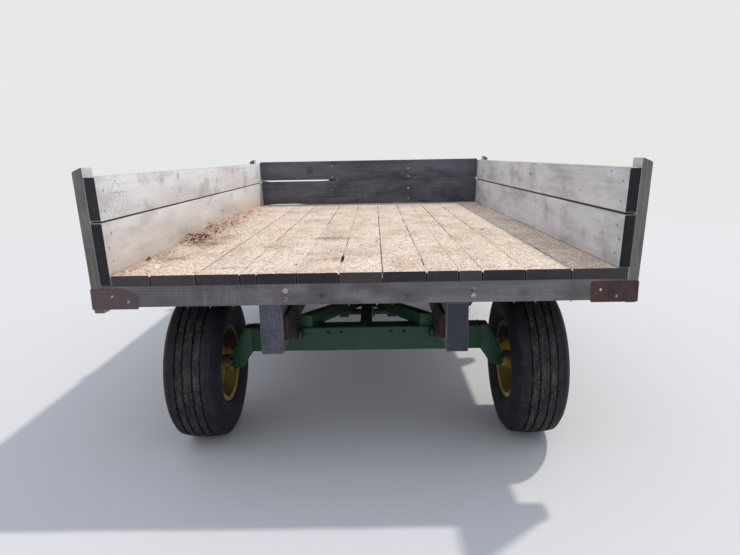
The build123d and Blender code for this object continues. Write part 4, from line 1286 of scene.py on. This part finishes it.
def addSillScratches():
    scratches = Shape()
    for run, thick in sillScratches:
        scratches.bead([(across, bedRear - 0.0002, up) for across, up in run], thick)
    scratches.place("sill_splinters", "bed", "beam_wood", 60, "stake_wood")


addSillScratches()
print("gear fasteners done")

# Litter on the deck: a heap along the left wall, loose leaves, straws and crumbs, and dust in the seams. An
# open seam is its place across and its stretch; a patch is its place, its spread and its number of crumbs.
litter = {
    "profile": [
        (0.86, 0.0), (1.02, 0.95), (1.45, 1.0), (1.9, 0.9),
        (2.35, 0.5), (2.95, 0.32), (3.45, 0.16), (3.52, 0.0),
    ],
    "heapTall": 0.056, "heapWide": 0.085, "heapReach": 0.26, "heapSteps": (26, 250), "heapSunk": 0.0016,
    "heapRough": 0.0022, "clump": (-1.066, 1.06), "clumpTall": 0.026, "clumpReach": (0.055, 0.12),
    "clumpSpread": (0.034, 0.075), "clumpLeaves": 40, "leaves": 360, "straws": 640, "crumbs": 4600,
    "red": (-1.104, 0.375), "wallX": -1.118, "heapSpread": 0.07, "heapAlong": (0.9, 3.45, 1.35),
    "rearShare": 0.35, "rearSpread": 0.22, "rearAlong": (0.03, 1.6),
    "shares": {"leaf": 0.9, "straw": 0.6, "crumb": 0.34}, "clodShare": 0.6, "openShare": 0.05,
    "leafSizes": ((0.01, 0.036), (0.005, 0.016)), "clumpSizes": ((0.026, 0.05), (0.014, 0.028)),
    "leafTilt": 0.28, "leafCurl": (0.1, 0.6),
    "leafRows": ((-0.5, 0.1), (-0.2, 0.8), (0.15, 1.0), (0.5, 0.12)),
    "redLeaf": ((-0.004, -0.02, 0), (0.014, -0.01, 0.01), (0.02, 0.014, 0.004), (0.001, 0.022, 0.017)),
    "strawLong": (0.015, 0.07), "strawThick": (0.0006, 0.0013), "strawTone": (0.5, 0.98),
    "crumbSize": (0.001, 0.003), "crumbBig": (0.0035, 0.008), "crumbSmallShare": 0.95,
    "crumbFlat": (0.35, 0.8),
    "openSeams": [
        (0.086, 0.03, 3.33), (0.281, 0.65, 3.3), (0.281, 0.04, 0.31), (0.528, 0.85, 3.25), (0.719, 1.25, 3.1),
        (-0.549, 1.65, 3.46), (-0.549, 0.88, 1.48), (-0.297, 1.65, 3.41), (-0.109, 2.9, 3.37),
        (-0.109, 0.69, 1.02), (-0.744, 0.07, 3.13), (0.921, 0.04, 0.6),
    ],
    "patches": [
        (-0.96, 0.9, 0.15, 0.09, 700), (-0.93, 1.14, 0.12, 0.1, 300), (-1.085, 0.22, 0.03, 0.14, 150),
        (-1.08, 0.58, 0.035, 0.18, 260), (-0.986, 0.425, 0.11, 0.035, 260), (-0.215, 1.06, 0.14, 0.045, 300),
        (-0.4, 2.05, 0.16, 0.09, 160), (-0.56, 0.74, 0.1, 0.04, 90), (-0.8, 1.35, 0.1, 0.1, 130),
        (-0.18, 0.33, 0.1, 0.035, 110), (-0.92, 1.75, 0.12, 0.2, 190), (-0.62, 0.14, 0.1, 0.03, 120),
        (0.45, 1.2, 0.1, 0.08, 60), (-0.3, 0.5, 0.14, 0.03, 90),
    ],
}


def heapProfile(along):
    table = litter["profile"]
    for (start, low), (stop, high) in zip(table, table[1:]):
        if start <= along <= stop:
            return low + (high - low) * (along - start) / (stop - start)
    return 0.0


def heapHeight(x, y):
    along = y - bedRear
    away = (x + wallLean["inner"]) / litter["heapWide"]
    if away > 3.2:
        return 0.0
    rough = 0.7 + 0.7 * uneven(x * 12, y * 10, 3.1) + 0.35 * uneven(x * 50, y * 42, 9.0)
    rough *= 0.3 + 1.1 * abs(uneven(0.7, y * 2.7, 5.0) + 0.35)
    fringe = exp(-away * away * 1.5) + 0.12 * exp(-away * away * 0.35)
    body = litter["heapTall"] * heapProfile(along) * fringe * max(0.05, rough)
    clumpX, clumpY = litter["clump"]
    reachX, reachY = litter["clumpReach"]
    near = ((x - clumpX) / reachX) ** 2 + ((along - clumpY) / reachY) ** 2
    return body + litter["clumpTall"] * exp(-near * 1.4) * max(0.1, rough)


def litterSpot(picker, kind):
    # most of it lies by the heap, some behind it along the wall, and the rest thins out to the right
    wallX = litter["wallX"]
    if picker.random() < litter["shares"][kind]:
        x = wallX + abs(picker.gauss(0, litter["heapSpread"]))
        return x, bedRear + picker.triangular(*litter["heapAlong"])
    if picker.random() < litter["rearShare"]:
        x = wallX + abs(picker.gauss(0, litter["rearSpread"]))
        return x, bedRear + picker.uniform(*litter["rearAlong"])
    drift = picker.random() ** 1.5
    return -1.115 + 2.22 * drift, bedRear + 0.02 + 3.57 * picker.random()


def overHole(x, y):
    middle, wide, start, stop = deckHole
    return abs(x - middle) < wide + 0.004 and start - 0.006 < y < stop + 0.006


def inBed(point):
    x, y, z = point
    limit = wallLean["inner"] - 0.006
    y = max(bedRear + 0.002, min(bedFront - 0.055, y))
    return Vector((max(-limit, min(limit, x)), y, max(z, deckTop + 0.0004)))


def addHeap(picker):
    heap = Shape()
    across, along = litter["heapSteps"]
    clumpX, clumpY = litter["clump"]
    wallX = -wallLean["inner"] - 0.0003
    startY, stopY = bedRear + litter["profile"][0][0], bedRear + litter["profile"][-1][0]
    points, tones = [], []
    for row in range(along + 1):
        y = startY + (stopY - startY) * row / along
        for step in range(across + 1):
            x = wallX + litter["heapReach"] * (step / across) ** 1.4
            up = heapHeight(x, y) - litter["heapSunk"]
            x -= wallLean["rise"] * up * (1 - step / across)
            up += litter["heapRough"] * uneven(x * 130, y * 130, 0.5)
            points.append((x, y, deckTop + up))
            dark = exp(-((x - clumpX - 0.04) / 0.11) ** 2 - ((y - bedRear - clumpY) / 0.2) ** 2)
            mottled = 0.5 * uneven(x * 22, y * 22, 2.0) + picker.uniform(-0.14, 0.22)
            tones.append(0.62 - 0.32 * dark + mottled + 0.06 * (y - bedRear - 1.5))
    heap.add(points, gridFaces(along, across))
    heap.tones = tones
    heap.place("litter_heap", "bed", "deck_wood", 60, "litter")


def addLeaf(flecks, picker, inClump):
    x, y = litterSpot(picker, "leaf")
    if inClump:
        x, along = [picker.gauss(*values) for values in zip(litter["clump"], litter["clumpSpread"])]
        y = bedRear + along
    if overHole(x, y):
        return
    long, wide = [picker.uniform(*limits) for limits in litter["leafSizes"]]
    if inClump:
        long, wide = [picker.uniform(*limits) for limits in litter["clumpSizes"]]
    turn, tilt = picker.uniform(0, tau), picker.gauss(0, litter["leafTilt"])
    curl = picker.uniform(*litter["leafCurl"])
    forward = Vector((cos(turn), sin(turn), sin(tilt)))
    aside = Vector((-sin(turn), cos(turn), picker.gauss(0, 0.3)))
    middle = Vector((x, y, deckTop + heapHeight(x, y) + 0.003 + abs(sin(tilt)) * long * 0.5))
    corners = []
    for reach, width in litter["leafRows"]:
        for hand in (-1, 0, 1):
            lift = Vector((0, 0, curl * wide * abs(hand) * width + 0.3 * curl * long * reach * reach))
            corners.append(inBed(middle + forward * reach * long + aside * hand * width * wide * 0.5 + lift))
    tone = picker.triangular(0.12, 0.98, 0.55)
    if inClump:
        tone = picker.uniform(0.0, 0.34) if picker.random() < 0.65 else picker.uniform(0.38, 0.7)
    flecks.add(corners, gridFaces(3, 2), tone)


def addStraw(flecks, picker):
    x, y = litterSpot(picker, "straw")
    base = heapHeight(x, y)
    long, thick = picker.uniform(*litter["strawLong"]), picker.uniform(*litter["strawThick"])
    turn, tilt = picker.uniform(0, tau), picker.gauss(0, 0.1 if base < 0.004 else 0.35)
    forward = Vector((cos(turn), sin(turn), sin(tilt))) * long * 0.5
    aside = Vector((-sin(turn), cos(turn), 0)) * thick
    middle = Vector((x, y, deckTop + base + thick + abs(forward.z)))
    moves = (-aside, aside, Vector((0, 0, thick * 1.6)))
    corners = [inBed(middle + way * forward + move) for way in (-1, 1) for move in moves]
    faces = [(0, 1, 4, 3), (1, 2, 5, 4), (2, 0, 3, 5), (0, 2, 1), (3, 4, 5)]
    flecks.add(corners, faces, picker.uniform(*litter["strawTone"]))


def addCrumb(crumbs, picker, x, y, tone):
    if overHole(x, y):
        return
    small = picker.random() < litter["crumbSmallShare"] or tone
    size = picker.uniform(*litter["crumbSize" if small else "crumbBig"])
    tall = size * picker.uniform(*litter["crumbFlat"])
    middle = Vector((x, y, deckTop + heapHeight(x, y)))
    corners = []
    for step in range(5):
        turn = (step + picker.uniform(-0.3, 0.3)) / 5 * tau
        reach = size * picker.uniform(0.7, 1.25)
        move = Vector((cos(turn) * reach, sin(turn) * reach, tall * picker.uniform(0.1, 0.6)))
        corners.append(inBed(middle + move))
    corners += [inBed(middle + Vector((0, 0, tall * 1.5))), inBed(middle)]
    faces = [(step, (step + 1) % 5, 5) for step in range(5)]
    faces += [((step + 1) % 5, step, 6) for step in range(5)]
    crumbs.add(corners, faces, tone if tone is not None else picker.triangular(0.05, 0.98, 0.55))


def addLitter():
    picker = random.Random(23)
    addHeap(picker)
    flecks, crumbs = Shape(), Shape()
    for number in range(litter["leaves"] + litter["clumpLeaves"]):
        addLeaf(flecks, picker, number >= litter["leaves"])
    spot = Vector((litter["red"][0], bedRear + litter["red"][1], deckTop + 0.003))
    flecks.add([inBed(spot + Vector(move)) for move in litter["redLeaf"]], [(0, 1, 2, 3)], 1.0)
    for number in range(litter["straws"]):
        addStraw(flecks, picker)
    flecks.place("litter_leaves", "bed", "deck_wood", None, "litter")
    places = [(*litterSpot(picker, "crumb"), None) for number in range(litter["crumbs"])]
    for middleX, middleY, spreadX, spreadY, count in litter["patches"]:
        for number in range(count):
            x, y = picker.gauss(middleX, spreadX * 0.55), bedRear + picker.gauss(middleY, spreadY * 0.55)
            places.append((x, y, picker.uniform(0.08, 0.42)))
    for x, y, tone in places:
        addCrumb(crumbs, picker, x, y, tone)
    crumbs.place("litter_crumbs", "bed", "deck_wood", None, "litter")


def seamOpen(across, along, picker):
    if abs(across - deckHole[0]) < 0.02 and deckHole[2] - 0.08 < along + bedRear < deckHole[3]:
        return True
    for seam, start, stop in litter["openSeams"]:
        if abs(across - seam) < 0.05 and start < along < stop:
            return picker.random() < 0.88
    return picker.random() < litter["openShare"]


def seamStretch(middle, half, start, stop):
    # one stretch of packed dust, with its crest a little uneven and its ends sunk
    count = max(3, int((stop - start) / 0.006))
    points = []
    for step in range(count + 1):
        y = start + (stop - start) * step / count
        sink = -0.004 if step in (0, count) else 0.0
        crest = 0.001 * uneven(middle * 50, y * 160, 1.0)
        for reach, up in ((-half, -0.0016), (0.0, -0.0004 + crest), (half, -0.0016)):
            points.append((middle + reach, y, deckTop + up + sink))
    return points, gridFaces(count, 2)


def addSeamDust():
    # dust packed into the seams between the planks, with stretches left open
    picker = random.Random(31)
    edges = sorted(span(points, 0) for points in islands("deck_planks"))
    dust = Shape()
    for (_, leftEdge), (rightEdge, _) in zip(edges, edges[1:]):
        middle = (leftEdge + rightEdge) / 2
        half = (rightEdge - leftEdge) / 2 + 0.0012
        y = bedRear + picker.uniform(0.012, 0.03)
        while y < bedFront - 0.06:
            stop = min(y + picker.uniform(0.03, 0.16), bedFront - 0.056)
            if not seamOpen(middle, y - bedRear, picker):
                dust.add(*seamStretch(middle, half, y, stop), picker.uniform(0.62, 0.95))
            y = stop
        if picker.random() < litter["clodShare"]:  # a little clod that has crept over the deck's rear edge
            drop, wide = picker.uniform(0.003, 0.01), picker.uniform(0.003, 0.006)
            rows = ((-1, 0.002), (1, 0.002), (0.4, drop), (-0.5, drop * 0.8))
            clod = [(middle + wide * reach, bedRear - 0.0012, deckTop - down) for reach, down in rows]
            clod += [(middle + wide * reach, bedRear + 0.006, deckTop + 0.001) for reach in (-1, 1)]
            dust.add(clod, [(0, 1, 2, 3), (4, 5, 1, 0)], 0.95)
    dust.place("seam_dust", "bed", "deck_wood", None, "litter")


addLitter()
addSeamDust()
print("litter done")

# Camera, solved from the photograph: its place is from the bed's rear face
cameraPlace = {
    "x": 0.055, "behind": 2.448, "height": 1.477, "yaw": -0.58, "pitch": 12.23, "roll": -1.04,
    "focal": 566.0, "frameWidth": 740.0,
}


def addCamera():
    yaw, pitch, roll = [radians(cameraPlace[key]) for key in ("yaw", "pitch", "roll")]
    forward = Vector((cos(pitch) * sin(yaw), cos(pitch) * cos(yaw), -sin(pitch)))
    right = Vector((cos(yaw), -sin(yaw), 0))
    up = Vector((sin(pitch) * sin(yaw), sin(pitch) * cos(yaw), cos(pitch)))
    rolledRight = right * cos(roll) + up * sin(roll)
    rolledUp = up * cos(roll) - right * sin(roll)
    lens = bpy.data.cameras.new("photoCamera")
    lens.sensor_width = 36.0
    lens.lens = lens.sensor_width * cameraPlace["focal"] / cameraPlace["frameWidth"]
    lens.clip_start = 0.05
    lens.clip_end = 200.0
    camera = newObject("photoCamera", lens)
    turn = Matrix((rolledRight, rolledUp, -forward)).transposed().to_4x4()
    spot = Vector((cameraPlace["x"], bedRear - cameraPlace["behind"], cameraPlace["height"]))
    camera.matrix_world = Matrix.Translation(spot) @ turn
    bpy.context.scene.camera = camera


studio = {
    "floor": (222, 222, 222), "backdrop": (232, 232, 231), "size": 80.0, "fadeFrom": 5.0, "fadeTo": 12.0,
    "sky": 0.69, "skyTint": [0.92, 0.98, 1.12, 1.0], "sunTint": [1.0, 0.95, 0.89],
    "sunPower": 1.7, "sunAngle": 2.0, "sunTravel": [-0.452, -0.36, -0.815],
}


def cameraSees(start):
    # 1 for what the camera, a mirror or glass shows, 0 for what only lights the object
    names = ("Is Camera Ray", "Is Glossy Ray", "Is Transmission Ray")
    path = [start.node("ShaderNodeLightPath", {}, {}, name) for name in names]
    return (path[0] + path[1] + path[2]).least(1.0)


def mixShaders(tree, factor, first, second, target):
    mixer = tree.nodes.new("ShaderNodeMixShader")
    for place, socket in enumerate((factor.socket, first, second)):
        tree.links.new(socket, mixer.inputs[place])
    tree.links.new(mixer.outputs[0], target)


def addStudio():
    floorMesh = bpy.data.meshes.new("studioFloor")
    half = studio["size"]
    corners = [(-half, -half, 0), (half, -half, 0), (half, half, 0), (-half, half, 0)]
    floorMesh.from_pydata(corners, [], [(0, 1, 2, 3)])
    floor = newObject("studioFloor", floorMesh)
    material, look, start, place = newFinish("paleFloor", studio)
    tree = material.node_tree
    shader = tree.nodes["Principled BSDF"]
    shader.inputs["Base Color"].default_value = look["floor"]
    shader.inputs["Roughness"].default_value = 0.9
    far = start.node("ShaderNodeEmission", {}, {"Color": look["backdrop"]})
    fade = place.length().smooth(studio["fadeFrom"], studio["fadeTo"]) * cameraSees(start)
    mixShaders(tree, fade, shader.outputs[0], far.socket, tree.nodes["Material Output"].inputs[0])
    floorMesh.materials.append(material)
    world = bpy.data.worlds.new("studioSky")
    bpy.context.scene.world = world
    world.use_nodes = True
    tree = world.node_tree
    start = Signal(tree)
    sky = tree.nodes["Background"]
    sky.inputs["Color"].default_value = studio["skyTint"]
    sky.inputs["Strength"].default_value = studio["sky"]
    shown = start.node("ShaderNodeBackground", {}, {"Color": look["backdrop"]})
    mixShaders(tree, cameraSees(start), sky.outputs[0], shown.socket, tree.nodes["World Output"].inputs[0])
    lamp = bpy.data.lights.new("softSun", "SUN")
    lamp.energy = studio["sunPower"]
    lamp.color = studio["sunTint"]
    lamp.angle = radians(studio["sunAngle"])
    sun = newObject("softSun", lamp)
    sun.rotation_euler = Vector(studio["sunTravel"]).to_track_quat("-Z", "Y").to_euler()


addCamera()
addStudio()
bpy.context.scene.view_settings.view_transform = "Standard"
print("scene done")
